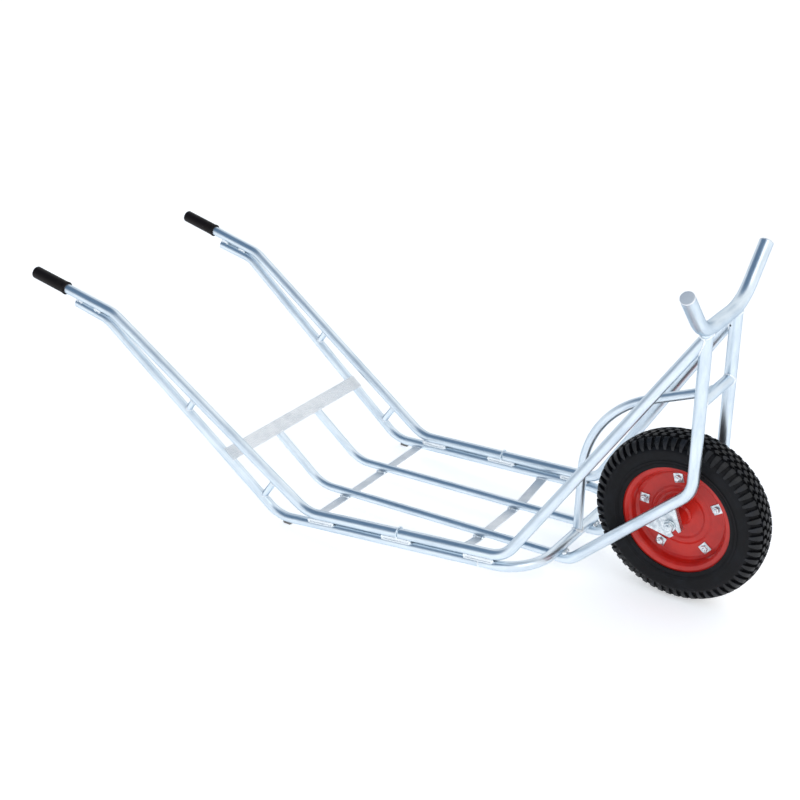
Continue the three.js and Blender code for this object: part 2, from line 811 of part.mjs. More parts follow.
add(
  "hub_shell",
  turned(
    [
      [axleRadius + 4, -hubHalf + bearingWidth + gap],
      [bearingRadius + gap - 0.2, -hubHalf + bearingWidth + gap],
      [bearingRadius + gap, -hubHalf],
      [hubRadiusOut, -hubHalf],
      [hubRadiusOut, hubHalf],
      [bearingRadius + gap, hubHalf],
      [bearingRadius + gap - 0.2, hubHalf - bearingWidth - gap],
      [axleRadius + 4, hubHalf - bearingWidth - gap],
    ],
    28,
  ),
  paint,
);
for (const [side, s] of sides) {
  const bearing = turned(
    [
      [axleRadius + gap, hubHalf - bearingWidth],
      [bearingRadius, hubHalf - bearingWidth],
      [bearingRadius, hubHalf],
      [axleRadius + 4, hubHalf],
      [axleRadius + 4, bracketIn - gap],
      [axleRadius + gap, bracketIn - gap],
    ],
    24,
  );
  add("bearing_" + side, s > 0 ? bearing : bearing.mirror([0, 1, 0]), steel);
}

// Pitch the level frame until the tyre and both skid pads stand on one floor
level.rotation.y = -pitch;
const group = new THREE.Group();
group.add(level);
group.updateMatrixWorld(true);
const box = new THREE.Box3().setFromObject(group, true);
level.position.set(-(box.min.x + box.max.x) / 2, 0, tyreRadius);

export default group;
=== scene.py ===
import json
import math
import random

import bmesh
import bpy
from mathutils import Matrix, Vector


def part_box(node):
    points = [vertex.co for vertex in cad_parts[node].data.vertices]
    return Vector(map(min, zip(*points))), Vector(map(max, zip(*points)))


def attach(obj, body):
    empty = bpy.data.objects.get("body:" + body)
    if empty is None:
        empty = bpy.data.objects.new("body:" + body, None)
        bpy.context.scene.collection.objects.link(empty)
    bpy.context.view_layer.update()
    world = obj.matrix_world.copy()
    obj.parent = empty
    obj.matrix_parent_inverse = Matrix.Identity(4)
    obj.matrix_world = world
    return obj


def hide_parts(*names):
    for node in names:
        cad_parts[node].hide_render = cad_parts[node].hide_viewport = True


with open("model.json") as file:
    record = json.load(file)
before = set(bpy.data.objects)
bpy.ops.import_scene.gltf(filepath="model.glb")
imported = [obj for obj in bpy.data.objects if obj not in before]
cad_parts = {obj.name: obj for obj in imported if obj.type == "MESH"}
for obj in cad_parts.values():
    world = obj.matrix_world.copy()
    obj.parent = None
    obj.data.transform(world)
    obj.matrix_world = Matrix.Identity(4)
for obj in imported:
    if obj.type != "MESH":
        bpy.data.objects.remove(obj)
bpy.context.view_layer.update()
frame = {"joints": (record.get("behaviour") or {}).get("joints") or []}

scene = bpy.context.scene
scene.view_settings.view_transform = "Standard"
chance = random.Random(7)
turn = 2 * math.pi

# Lengths are millimetres from the axle, with the frame level: +X forward, +Y left, +Z up.
# The cart stands nose up on its tyre and skid pads, so each piece is tipped by that pitch.
axle = Vector(frame["joints"][0]["pos_m"])
stance = {"padBack": 850, "soleDrop": 111.4}
standing = math.asin(axle.z * 1000 / math.hypot(stance["padBack"], stance["soleDrop"]))
pitch = standing - math.atan2(stance["soleDrop"], stance["padBack"])
level = Matrix.Translation(axle) @ Matrix.Rotation(-pitch, 4, "Y") @ Matrix.Scale(0.001, 4)
sides = {"left": 1, "right": -1}


class Wire:  # an output socket; sums and products of wires add Math nodes
    def __init__(self, net, socket):
        self.net, self.socket = net, socket

    def sum(self, operation, first, second):
        return self.net.node("Math", {"operation": operation}, {0: first, 1: second})

    def __add__(self, other):
        return self.sum("ADD", self, other)

    def __radd__(self, other):
        return self.sum("ADD", other, self)

    def __mul__(self, other):
        return self.sum("MULTIPLY", self, other)

    def __rmul__(self, other):
        return self.sum("MULTIPLY", other, self)


class Net:  # the nodes of one material or of the world
    def __init__(self, tree):
        self.tree = tree
        tree.nodes.clear()

    def node(self, kind, settings=None, inputs=None, out=0):
        made = self.tree.nodes.new("ShaderNode" + kind)
        for key, value in (settings or {}).items():
            setattr(made, key, value)
        for key, value in (inputs or {}).items():
            if isinstance(value, Wire):
                self.tree.links.new(value.socket, made.inputs[key])
            else:
                made.inputs[key].default_value = value
        return Wire(self, made.outputs[out] if made.outputs else None)

    def mix(self, share, first, second):
        return self.node("Mix", {"data_type": "RGBA"}, {0: share, 6: first, 7: second}, out=2)

    def scaled(self, vector, scale):
        return self.node("Mapping", {}, {"Vector": vector, "Scale": scale})

    def noise(self, vector, scale, detail=3, rough=0.5):
        inputs = {"Vector": vector, "Scale": scale, "Detail": detail, "Roughness": rough}
        return self.node("TexNoise", {}, inputs)

    def cells(self, vector, scale):
        return self.node("TexVoronoi", {}, {"Vector": vector, "Scale": scale})

    def steep(self, value, low, high):
        return self.node("MapRange", {"interpolation_type": "SMOOTHSTEP"}, {0: value, 1: low, 2: high})


def newFinish(name, build):
    material = bpy.data.materials.new(name)
    material.use_nodes = True
    net = Net(material.node_tree)
    shader = net.node("BsdfPrincipled", {}, build(net))
    net.node("OutputMaterial", {}, {"Surface": shader})
    return material


def rgb(red, green, blue):
    return (red, green, blue, 1)


def bump(net, height, depth, strength):
    return net.node("Bump", {}, {"Strength": strength, "Distance": depth, "Height": height})


def ownPlace(net):
    return net.node("TexCoord", out=3)


def drawnTube(net):  # bright tube with faint die lines along it and cloudy patches
    grain = net.node("Attribute", {"attribute_name": "grain"}, out=1)
    lines = net.noise(net.scaled(grain, (620, 620, 5)), 1, 4, 0.6)
    cloud = net.noise(net.scaled(grain, (40, 40, 9)), 1, 5, 0.65)
    scuffs = net.steep(net.noise(net.scaled(grain, (260, 260, 90)), 1, 2), 0.66, 0.8)
    colour = net.mix(net.steep(cloud, 0.35, 0.75), rgb(0.8, 0.88, 0.94), rgb(0.6, 0.69, 0.77))
    return {
        "Base Color": net.mix(scuffs * 0.35, colour, rgb(0.55, 0.6, 0.66)),
        "Metallic": 1,
        "Roughness": 0.2 + lines * 0.16 + cloud * 0.1 + scuffs * 0.12,
        "Specular Tint": rgb(0.5, 0.56, 0.62),
        "Normal": bump(net, lines + scuffs * 0.5, 0.00025, 0.35),
    }


def flatBar(net):  # mill finish bar, rolled along its length across the cart
    spot = ownPlace(net)
    lines = net.noise(net.scaled(spot, (900, 14, 900)), 1, 4, 0.6)
    stain = net.noise(spot, 26, 5, 0.6)
    return {
        "Base Color": net.mix(net.steep(stain, 0.4, 0.7), rgb(0.85, 0.87, 0.89), rgb(0.74, 0.77, 0.8)),
        "Metallic": 0.65,
        "Roughness": 0.36 + lines * 0.18 + stain * 0.1,
        "Normal": bump(net, lines, 0.0002, 0.4),
    }


def weldMetal(net):  # bright, finely crinkled, with sooty specks
    spot = ownPlace(net)
    crinkle = net.noise(spot, 900, 4, 0.6)
    soot = net.steep(net.noise(spot, 330, 3), 0.6, 0.72)
    return {
        "Base Color": net.mix(soot * 0.6, rgb(0.92, 0.95, 0.97), rgb(0.42, 0.46, 0.52)),
        "Metallic": 1,
        "Roughness": 0.24 + crinkle * 0.16 + soot * 0.2,
        "Normal": bump(net, crinkle, 0.0003, 0.5),
    }


def zincPlate(net):  # bright plating with a faint spangle
    spot = ownPlace(net)
    spangle = net.cells(spot, 420)
    cloud = net.noise(spot, 120, 4, 0.6)
    return {
        "Base Color": net.mix(net.steep(cloud, 0.3, 0.7), rgb(0.86, 0.9, 0.92), rgb(0.5, 0.56, 0.6)),
        "Metallic": 1,
        "Roughness": 0.16 + spangle * 0.14 + cloud * 0.14,
        "Normal": bump(net, spangle, 0.00012, 0.25),
    }


def groundSteel(net):
    spot = ownPlace(net)
    lines = net.noise(net.scaled(spot, (300, 2600, 300)), 1, 3)
    return {
        "Base Color": net.mix(lines, rgb(0.62, 0.63, 0.64), rgb(0.46, 0.47, 0.49)),
        "Metallic": 1,
        "Roughness": 0.26 + lines * 0.2,
        "Normal": bump(net, lines, 0.0001, 0.3),
    }


def redPaint(net):  # gloss powder coat, a little uneven, with fine dust
    spot = ownPlace(net)
    peel = net.noise(spot, 420, 2, 0.4)
    cloud = net.noise(spot, 22, 4, 0.6)
    dust = net.steep(net.noise(spot, 1500, 2), 0.68, 0.76)
    red = net.mix(net.steep(cloud, 0.35, 0.7), rgb(0.6, 0.018, 0.01), rgb(0.47, 0.012, 0.008))
    return {
        "Base Color": net.mix(dust * 0.12, red, rgb(0.8, 0.35, 0.3)),
        "Roughness": 0.3 + cloud * 0.14 + dust * 0.2,
        "Coat Weight": 0.3,
        "Specular IOR Level": 0.35,
        "Coat Roughness": 0.06,
        "Normal": bump(net, peel, 0.0004, 0.12),
    }


def mouldedRubber(look):  # dark rubber with a worn sheen and a little dust in the pores
    def build(net):
        spot = ownPlace(net)
        pores = net.noise(spot, look["pores"], 3, 0.6)
        cloud = net.noise(spot, *look["cloud"])
        return {
            "Base Color": net.mix(net.steep(cloud, 0.4, 0.75), rgb(0.002, 0.002, 0.003), look["dusty"]),
                "Specular IOR Level": look["shine"],
            "Roughness": look["rough"] + cloud * look["cloudy"] + pores * look["grainy"],
            "Normal": bump(net, pores, 0.0004, look["bump"]),
        }

    return build


tyreLook = {
    "pores": 1400,
    "cloud": (30, 5, 0.65),
    "dusty": rgb(0.007, 0.008, 0.011),
    "shine": 0.2,
    "rough": 0.42,
    "cloudy": 0.22,
    "grainy": 0.08,
    "bump": 0.25,
}
treadLook = {  # the blocks are worn smoother than the sidewall and catch more light
    "pores": 1100,
    "cloud": (45, 4, 0.6),
    "dusty": rgb(0.008, 0.009, 0.014),
    "shine": 0.4,
    "rough": 0.34,
    "cloudy": 0.2,
    "grainy": 0.1,
    "bump": 0.3,
}


def plainRubber(net):
    spot = ownPlace(net)
    pores = net.noise(spot, 1100, 3, 0.6)
    cloud = net.noise(spot, 60, 3)
    return {
        "Base Color": net.mix(cloud, rgb(0.12, 0.12, 0.12), rgb(0.2, 0.19, 0.18)),
        "Roughness": 0.62 + pores * 0.2,
        "Normal": bump(net, pores, 0.0005, 0.4),
    }


def dippedVinyl(net):  # soft black sleeve with a fine leathery skin
    spot = ownPlace(net)
    skin = net.cells(spot, 900)
    cloud = net.noise(spot, 90, 4)
    return {
        "Base Color": net.mix(cloud, rgb(0.002, 0.001, 0.001), rgb(0.008, 0.004, 0.004)),
        "Specular IOR Level": 0.2,
        "Roughness": 0.4 + cloud * 0.2 + skin * 0.1,
        "Normal": bump(net, skin, 0.0003, 0.3),
    }


# painted shade: a near-black finish that stands in for the shadow inside a hole
def paintedHoleShade(net):
    grit = net.noise(ownPlace(net), 700, 3)
    return {
        "Base Color": net.mix(grit, rgb(0.004, 0.004, 0.005), rgb(0.02, 0.02, 0.022)),
        "Roughness": 0.8 + grit * 0.2,
    }


finishes = {  # material and the slot it takes
    "tube": (newFinish("drawn aluminium tube", drawnTube), "tube_aluminium"),
    "bar": (newFinish("mill finish flat bar", flatBar), "flat_aluminium"),
    "weld": (newFinish("weld metal", weldMetal), "flat_aluminium"),
    "zinc": (newFinish("bright zinc plate", zincPlate), "zinc"),
    "steel": (newFinish("ground bearing steel", groundSteel), "bearing_steel"),
    "paint": (newFinish("red powder coat", redPaint), "rim_paint"),
    "tyre": (newFinish("moulded tyre rubber", mouldedRubber(tyreLook)), "tyre_rubber"),
    "tread": (newFinish("worn tread rubber", mouldedRubber(treadLook)), "tyre_rubber"),
    "rubber": (newFinish("plain rubber", plainRubber), "skid_rubber"),
    "vinyl": (newFinish("dipped vinyl", dippedVinyl), "grip_vinyl"),
    "holeShade": (newFinish("painted hole shade", paintedHoleShade), "grip_vinyl"),
}
print("finishes made:", len(finishes))


def newObject(bm, name, material):
    mesh = bpy.data.meshes.new(name)
    bm.to_mesh(mesh)
    bm.free()
    mesh.materials.append(material)
    made = bpy.data.objects.new(name, mesh)
    scene.collection.objects.link(made)
    return made


def putPiece(bm, name, finish, body="frame", stands=(), place=level, crease=35, outside=None):
    bmesh.ops.remove_doubles(bm, verts=bm.verts, dist=0.002)
    bmesh.ops.recalc_face_normals(bm, faces=bm.faces)
    if outside and sum(f.normal.dot(outside) * f.calc_area() for f in bm.faces) < 0:
        bmesh.ops.reverse_faces(bm, faces=bm.faces)
    bm.transform(place)
    material, slot = finishes[finish]
    piece = newObject(bm, name, material)
    piece.data.polygons.foreach_set("use_smooth", [True] * len(piece.data.polygons))
    piece.data.set_sharp_from_angle(angle=math.radians(crease))
    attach(piece, body)
    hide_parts(*stands)
    return piece


def vertsOf(made):
    return [g for g in made["geom"] if isinstance(g, bmesh.types.BMVert)]


def facing(forward, up=(0, 0, 1)):  # turns local Z to forward, with local Y as near up as it can be
    z = Vector(forward).normalized()
    x = Vector(up).cross(z)
    if x.length < 1e-4:
        x = Vector((1, 0, 0)).cross(z)
    x.normalize()
    return Matrix((x, z.cross(x), z)).transposed().to_4x4()


def sweepAlong(bm, corners, radii, ring, arcSteps=9, up=(0, 0, 1)):
    # a ring of edges is pulled along straight runs and turned round the bends between them
    grain = bm.verts.layers.float_vector.get("grain") or bm.verts.layers.float_vector.new("grain")
    points = [Vector(c) for c in corners]
    ahead = [(b - a).normalized() for a, b in zip(points, points[1:])]
    place = Matrix.Translation(points[0]) @ facing(ahead[0], up)
    verts = ring(bm, place)
    for v in verts:
        spot = place.inverted() @ v.co
        v[grain] = (spot.x / 1000, spot.y / 1000, 0)
    edges = [e for e in {e for v in verts for e in v.link_edges} if set(e.verts) <= set(verts)]
    firstEdges = list(edges)

    def pull(move, length):
        nonlocal verts, edges
        made = bmesh.ops.extrude_edge_only(bm, edges=edges)
        verts = vertsOf(made)
        fresh = set(verts)
        pulled = [g for g in made["geom"] if isinstance(g, bmesh.types.BMEdge)]
        edges = [e for e in pulled if set(e.verts) <= fresh]
        bmesh.ops.transform(bm, matrix=move, verts=verts)
        for v in verts:
            v[grain] = (v[grain][0], v[grain][1], v[grain][2] + length / 1000)

    start = points[0]
    for i, run in enumerate(ahead):
        last = i == len(ahead) - 1
        bend = 0 if last else run.angle(ahead[i + 1])
        back = 0 if last else radii[i] * math.tan(bend / 2)
        end = points[i + 1] - run * back
        pull(Matrix.Translation(end - start), (end - start).length)
        start = points[i + 1]
        if bend > 1e-5:
            axis = run.cross(ahead[i + 1]).normalized()
            centre = end + axis.cross(run) * radii[i]
            spin = Matrix.Rotation(bend / arcSteps, 4, axis)
            step = Matrix.Translation(centre) @ spin @ Matrix.Translation(-centre)
            for _ in range(arcSteps):
                pull(step, radii[i] * bend / arcSteps)
            start = points[i + 1] + ahead[i + 1] * back
    bmesh.ops.holes_fill(bm, edges=firstEdges + edges, sides=0)
    return bm


def openEnd(bm, end, ahead, wall, deep):  # sinks the cap at that end, leaving the tube's wall
    cap = min(bm.faces, key=lambda f: (f.calc_center_median() - end).length)
    bmesh.ops.inset_individual(bm, faces=[cap], thickness=wall)
    made = bmesh.ops.extrude_discrete_faces(bm, faces=[cap])
    move = (ahead - end).normalized() * deep
    bmesh.ops.translate(bm, vec=move, verts=list(made["faces"][0].verts))


def roundRing(diameter, segments=40):
    def make(bm, place):
        made = bmesh.ops.create_circle(bm, radius=diameter / 2, segments=segments, matrix=place)
        return made["verts"]

    return make


def flatRing(wide, thick, edge=0.5):
    def make(bm, place):
        outline = []
        for x, y in ((1, 1), (-1, 1), (-1, -1), (1, -1)):
            pair = [(x * (wide / 2 - edge), y * thick / 2), (x * wide / 2, y * (thick / 2 - edge))]
            outline += pair if x * y < 0 else pair[::-1]
        verts = [bm.verts.new(place @ Vector((x, y, 0))) for x, y in outline]
        for a, b in zip(verts, verts[1:] + verts[:1]):
            bm.edges.new((a, b))
        return verts

    return make


def rounded(corners, steps=4):
    # (x, y, fillet) corners to outline points, with an arc at each corner that has a fillet
    points = []
    for i, corner in enumerate(corners):
        here = Vector(corner[:2])
        fillet = corner[2] if len(corner) > 2 else 0
        if not fillet:
            points.append(here)
            continue
        before = (Vector(corners[i - 1][:2]) - here).normalized()
        after = (Vector(corners[(i + 1) % len(corners)][:2]) - here).normalized()
        half = before.angle(after) / 2
        back = fillet / math.tan(half)
        centre = here + (before + after).normalized() * (fillet / math.sin(half))
        first, last = here + before * back - centre, here + after * back - centre
        for k in range(steps + 1):
            points.append(centre + first.lerp(last, k / steps).normalized() * fillet)
    return points


def turned(profile, segments=96, closed=False, bm=None):
    # profile of (radius, place along the axis); the axis is local Y
    bm = bm or bmesh.new()
    verts = [bm.verts.new((p[0], p[1], 0)) for p in profile]
    pairs = list(zip(verts, verts[1:])) + ([(verts[-1], verts[0])] if closed else [])
    edges = [bm.edges.new(pair) for pair in pairs]
    bmesh.ops.spin(
        bm, geom=verts + edges, cent=(0, 0, 0), axis=(0, 1, 0), angle=turn, steps=segments, use_merge=True
    )
    bmesh.ops.remove_doubles(bm, verts=bm.verts, dist=0.001)
    return bm


def soften(bm, edges, offset, segments=2):
    bmesh.ops.bevel(
        bm, geom=edges, offset=offset, affect="EDGES", segments=segments, profile=0.5, material=-1
    )


def softBlock(bm, size, place, edge=1, segments=2):
    made = bmesh.ops.create_cube(bm, size=1, matrix=place @ Matrix.Diagonal((*size, 1)))
    edges = list({e for v in made["verts"] for e in v.link_edges})
    soften(bm, edges, edge, segments)


def plateFrom(bm, outline, thick, edge=0.6, place=Matrix()):
    face = bm.faces.new([bm.verts.new((p[0], p[1], 0)) for p in outline])
    made = bmesh.ops.extrude_face_region(bm, geom=[face])
    bmesh.ops.translate(bm, vec=(0, 0, thick), verts=vertsOf(made))
    flat = [e for e in bm.edges if abs(e.verts[0].co.z - e.verts[1].co.z) < 1e-6]
    soften(bm, flat, edge)
    bmesh.ops.transform(bm, matrix=place, verts=bm.verts)


def prism(bm, corners, radius, deep, place):
    made = bmesh.ops.create_cone(
        bm, cap_ends=True, segments=corners, radius1=radius, radius2=radius, depth=deep, matrix=place
    )
    return made["verts"]


def hexPrism(bm, across, low, high, place=Matrix(), chamfer=0.8):
    # six sided nut or bolt head along local Y
    middle = Matrix.Translation((0, (low + high) / 2, 0)) @ Matrix.Rotation(math.pi / 2, 4, "X")
    verts = prism(bm, 6, across / math.sqrt(3), high - low, place @ middle)
    ends = {e for v in verts for e in v.link_edges if len(e.link_faces) == 2}
    ends = [e for e in ends if any(len(f.verts) == 6 for f in e.link_faces)]
    soften(bm, ends, chamfer)


def threaded(radius, low, high, thread=1.25, depth=0.5):
    # profile of a screw end: ridges from low to high along the axis, with a chamfered tip
    profile = [(0.001, low), (radius, low)]
    count = max(int(abs(high - low) / thread), 1)
    step = (high - low) / count
    for i in range(count):
        profile += [(radius, low + step * (i + 0.15)), (radius - depth, low + step * (i + 0.5))]
        profile += [(radius, low + step * (i + 0.85))]
    return profile[:-1] + [(radius - depth, high), (0.001, high)]


# the tubes, along their centre lines

rail = {
    "gripX": -1523,
    "gripZ": 413.5,
    "bendX": -1286,
    "bendZ": 339,
    "rearX": -790,
    "frontX": -297,
    "bedZ": -73.4,
    "lowerZ": -97.4,
    "gripHalf": 256.8,
    "handleHalf": 249.3,
    "rearHalf": 224.5,
    "frontHalf": 198,
    "upper": 23,
    "lower": 22,
    "radii": [70, 85, 62],
}
fork = {
    "half": 68,
    "rearX": -252,
    "bendX": -218,
    "drop": -124,
    "hubX": 53.3,
    "hubZ": 88.8,
    "topX": 84,
    "topZ": 422,
    "leg": 24,
    "crossZ": 276.5,
    "cross": 23,
    "joinZ": 408,
    "radii": [46, 62],
}
bed = {
    "barHalf": 71.5,
    "bar": 19,
    "barRadius": 85,
    "barRise": 4.8,
    "splitX": -354,
    "loopX": -238.5,
    "loopRadius": 88,
    "barRear": (-735, -96.5),
    "barFront": (-252, -118),
    "strips": {"rear": -803, "front": -438},
    "plateX": -1001,
}


def between(a, b, x):  # height or half width at x on the line from a to b
    return a[1] + (b[1] - a[1]) * (x - a[0]) / (b[0] - a[0])


def bedHalf(x):
    return between((rail["rearX"], rail["rearHalf"]), (rail["frontX"], rail["frontHalf"]), x)


def slopeHalf(x):
    return between((rail["bendX"], rail["handleHalf"]), (rail["rearX"], rail["rearHalf"]), x)


def upperSlope(x):
    return between((rail["bendX"], rail["bendZ"]), (rail["rearX"], rail["bedZ"]), x)


def handleLine(x):
    return between((rail["gripX"], rail["gripZ"]), (rail["bendX"], rail["bendZ"]), x)


def lowerSlope(x):
    return between(lowerBend, (lowerFootX, rail["lowerZ"]), x)


def barBed(x):
    return between(bed["barRear"], bed["barFront"], x)


def legX(z):
    return between((fork["hubZ"], fork["hubX"]), (fork["topZ"], fork["topX"]), z)


def layTube(name, stand, line, radii, diameter, segments=40, arcSteps=9, up=(0, 0, 1)):
    bm = sweepAlong(bmesh.new(), line, radii, roundRing(diameter, segments), arcSteps, up)
    putPiece(bm, name, "tube", stands=[stand])


handleAngle = math.atan2(rail["gripZ"] - rail["bendZ"], rail["bendX"] - rail["gripX"])
stub = {"length": 98, "below": 24.3, "bendX": -1310, "wall": 2, "open": 60, "radii": [70, 85]}
lowerFootX = -872
lowerBend = (stub["bendX"], handleLine(stub["bendX"]) - stub["below"] / math.cos(handleAngle))
stubEnd = (
    lowerBend[0] - stub["length"] * math.cos(handleAngle),
    lowerBend[1] + stub["length"] * math.sin(handleAngle),
)
slopeAngle = math.atan2(lowerBend[1] - rail["lowerZ"], lowerFootX - lowerBend[0])
upperSlopeAngle = math.atan2(rail["bendZ"] - rail["bedZ"], rail["rearX"] - rail["bendX"])
loopHalf = bedHalf(bed["loopX"])
splitHalf = bedHalf(bed["splitX"])
barLift = bed["barRise"] / math.cos(slopeAngle)
barTopX = -988
barFoot = -872.4  # where the bar's slope and bed lines cross
crossX = legX(fork["crossZ"])
gripSet = (6, -2)  # the rail stops this far short of the grip's outer end
# (forward, up) corners of a fork leg
forkPoints = [(fork["rearX"], fork["drop"]), (fork["bendX"], fork["drop"])]
forkPoints += [(fork["hubX"], fork["hubZ"]), (fork["topX"], fork["topZ"])]

for side, s in sides.items():
    line = [
        (rail["gripX"] + gripSet[0], s * rail["gripHalf"], rail["gripZ"] + gripSet[1]),
        (rail["bendX"], s * rail["handleHalf"], rail["bendZ"]),
        (rail["rearX"], s * rail["rearHalf"], rail["bedZ"]),
        (rail["frontX"], s * rail["frontHalf"], rail["bedZ"]),
        (legX(fork["joinZ"]), s * fork["half"], fork["joinZ"]),
    ]
    layTube("upperRail_" + side, "upper_rail_" + side, line, rail["radii"], rail["upper"])
    y = s * rail["handleHalf"]
    line = [
        (stubEnd[0], y, stubEnd[1]),
        (lowerBend[0], y, lowerBend[1]),
        (lowerFootX, s * slopeHalf(lowerFootX), rail["lowerZ"]),
        (bed["splitX"], s * splitHalf, rail["lowerZ"]),
    ]
    bm = sweepAlong(bmesh.new(), line, stub["radii"], roundRing(rail["lower"]))
    openEnd(bm, Vector(line[0]), Vector(line[1]), stub["wall"], stub["open"])
    putPiece(bm, "lowerRail_" + side, "tube", stands=["lower_rail_" + side])
    line = [(x, s * fork["half"], z) for x, z in forkPoints]
    layTube("forkLeg_" + side, "fork_leg_" + side, line, fork["radii"], fork["leg"])
    line = [
        (barTopX, s * bed["barHalf"], lowerSlope(barTopX) + barLift),
        (barFoot, s * bed["barHalf"], barBed(barFoot)),
        (bed["barFront"][0], s * bed["barHalf"], bed["barFront"][1]),
    ]
    layTube("middleBar_" + side, "middle_bar_" + side, line, [bed["barRadius"]], bed["bar"])

line = [(bed["splitX"], -splitHalf, rail["lowerZ"]), (bed["loopX"], -loopHalf, rail["lowerZ"])]
line += [(bed["loopX"], loopHalf, rail["lowerZ"]), (bed["splitX"], splitHalf, rail["lowerZ"])]
layTube("frontLoop", "front_loop_tube", line, [bed["loopRadius"]] * 2, rail["lower"], arcSteps=16)

line = [(crossX, -fork["half"], fork["crossZ"]), (crossX, fork["half"], fork["crossZ"])]
layTube("forkCrossTube", "fork_cross_tube", line, [], fork["cross"])

arch = {"tube": 19.5, "bendX": -203.5, "bendZ": 192.5, "radius": 222}
line = [(bed["loopX"], 0, rail["lowerZ"]), (arch["bendX"], 0, arch["bendZ"])]
line += [(crossX, 0, fork["crossZ"])]
layTube("archTube", "arch_tube", line, [arch["radius"]], arch["tube"], arcSteps=24, up=(0, 1, 0))

cradle = {
    "tube": 28,
    "wall": 2.3,
    "bendHalf": 88,
    "endHalf": 176,
    "tipX": 11.5,
    "tipZ": 95.4,
    "radius": 108,
}
tipX, tipZ = fork["topX"] + cradle["tipX"], fork["topZ"] + cradle["tipZ"]
line = [
    (tipX, -cradle["endHalf"], tipZ),
    (fork["topX"], -cradle["bendHalf"], fork["topZ"]),
    (fork["topX"], cradle["bendHalf"], fork["topZ"]),
    (tipX, cradle["endHalf"], tipZ),
]
layTube("cradleTube", "cradle_tube", line, [cradle["radius"]] * 2, cradle["tube"], 48, 14)

for side, s in sides.items():
    out = Vector((cradle["tipX"], s * (cradle["endHalf"] - cradle["bendHalf"]), cradle["tipZ"]))
    place = Matrix.Translation((tipX, s * cradle["endHalf"], tipZ)) @ facing(out)
    place = level @ place @ Matrix.Rotation(math.pi / 2, 4, "X")
    r = cradle["tube"] / 2
    plug = r - cradle["wall"]
    profile = [(0.001, -10), (plug, -10), (plug, 0.2, 0.4), (r, 0.2, 0.5), (r, 3, 1.6), (0.001, 3)]
    bm = turned(rounded(profile), 48)
    putPiece(bm, "cradleCap_" + side, "bar", stands=["cradle_cap_" + side], place=place)
print("tubes bent")


# flat bars and small welded pieces

plate = {"wide": 34, "thick": 3, "ribs": 7, "ribWide": 2.6, "ribHigh": 0.8, "overhang": 4}
span = 2 * (slopeHalf(bed["plateX"]) + plate["overhang"])
lift = rail["lower"] / 2 + 0.3 + plate["thick"] / 2
plateMiddle = Vector((bed["plateX"] + lift * math.sin(slopeAngle), 0, 0))
plateMiddle.z = lowerSlope(bed["plateX"]) + lift * math.cos(slopeAngle)
platePlace = Matrix.Translation(plateMiddle) @ Matrix.Rotation(slopeAngle, 4, "Y")
edgeX, top = plate["wide"] / 2, plate["thick"] / 2
outline = [(-edgeX, -top, 0.5), (edgeX, -top, 0.5), (edgeX, top, 0.4)]
for i in reversed(range(plate["ribs"])):
    middle = (i - (plate["ribs"] - 1) / 2) * plate["wide"] / plate["ribs"]
    half = plate["ribWide"] / 2
    outline += [(middle + half, top), (middle + half - 0.4, top + plate["ribHigh"], 0.3)]
    outline += [(middle - half + 0.4, top + plate["ribHigh"], 0.3), (middle - half, top)]
outline.append((-edgeX, top, 0.4))
bm = bmesh.new()
stand = Matrix.Translation((0, span / 2, 0)) @ Matrix.Rotation(math.pi / 2, 4, "X")
plateFrom(bm, rounded(outline, 2), span, 0.15, stand)
putPiece(bm, "crossPlate", "bar", stands=["cross_plate"], place=level @ platePlace)

strip = {"wide": 24, "thick": 3, "gap": 2, "seat": 7, "flat": 22, "radius": 60}
stripLow = {}
for end, x in bed["strips"].items():
    reach = bedHalf(x) - 3
    low = barBed(x) - bed["bar"] / 2 - strip["gap"] - strip["thick"] / 2
    high = max(rail["lowerZ"] - strip["seat"], low + 0.5)
    foot = bed["barHalf"] + strip["flat"]
    line = [(x, -reach, high), (x, -foot, low), (x, foot, low), (x, reach, high)]
    ring = flatRing(strip["wide"], strip["thick"])
    bm = sweepAlong(bmesh.new(), line, [strip["radius"]] * 2, ring, arcSteps=5)
    putPiece(bm, "crossStrip_" + end, "bar", stands=["cross_strip_" + end])
    stripLow[end] = (low, high)

spacer = {
    "webs": [(-751, 62), (-554, 68), (-354, 64)],  # place along the bed and length
    "wide": 17,
    "high": 20,
    "stubs": [-1088, -892],
    "stub": 15,
}
webZ = (rail["bedZ"] - rail["upper"] / 2 + rail["lowerZ"] + rail["lower"] / 2) / 2
yaw = math.atan2(rail["frontHalf"] - rail["rearHalf"], rail["frontX"] - rail["rearX"])
hook = {"x": -549, "wire": 3.2, "foot": 4, "gap": 0.3}
lug = {"back": [14, 72], "size": (18, 11, 15)}
pad = {"size": (20, 12, 8), "edge": 1.2}


def slopeGap(x, s):  # middle of the gap between the slope's tubes, and half the way across it
    tilt = (slopeAngle + upperSlopeAngle) / 2
    rise = upperSlope(x) - lowerSlope(x)
    half = Vector((math.sin(tilt), 0, math.cos(tilt))) * (rise * math.cos(tilt) / 2)
    return Vector((x, s * slopeHalf(x), upperSlope(x) - rise / 2)), half


def lugSpot(back, y):  # middle of a handle lug, measured from the open end of the stub
    x = lowerBend[0] - (stub["length"] - back) * math.cos(handleAngle)
    return Vector((x, y, handleLine(x) - stub["below"] / 2 / math.cos(handleAngle)))


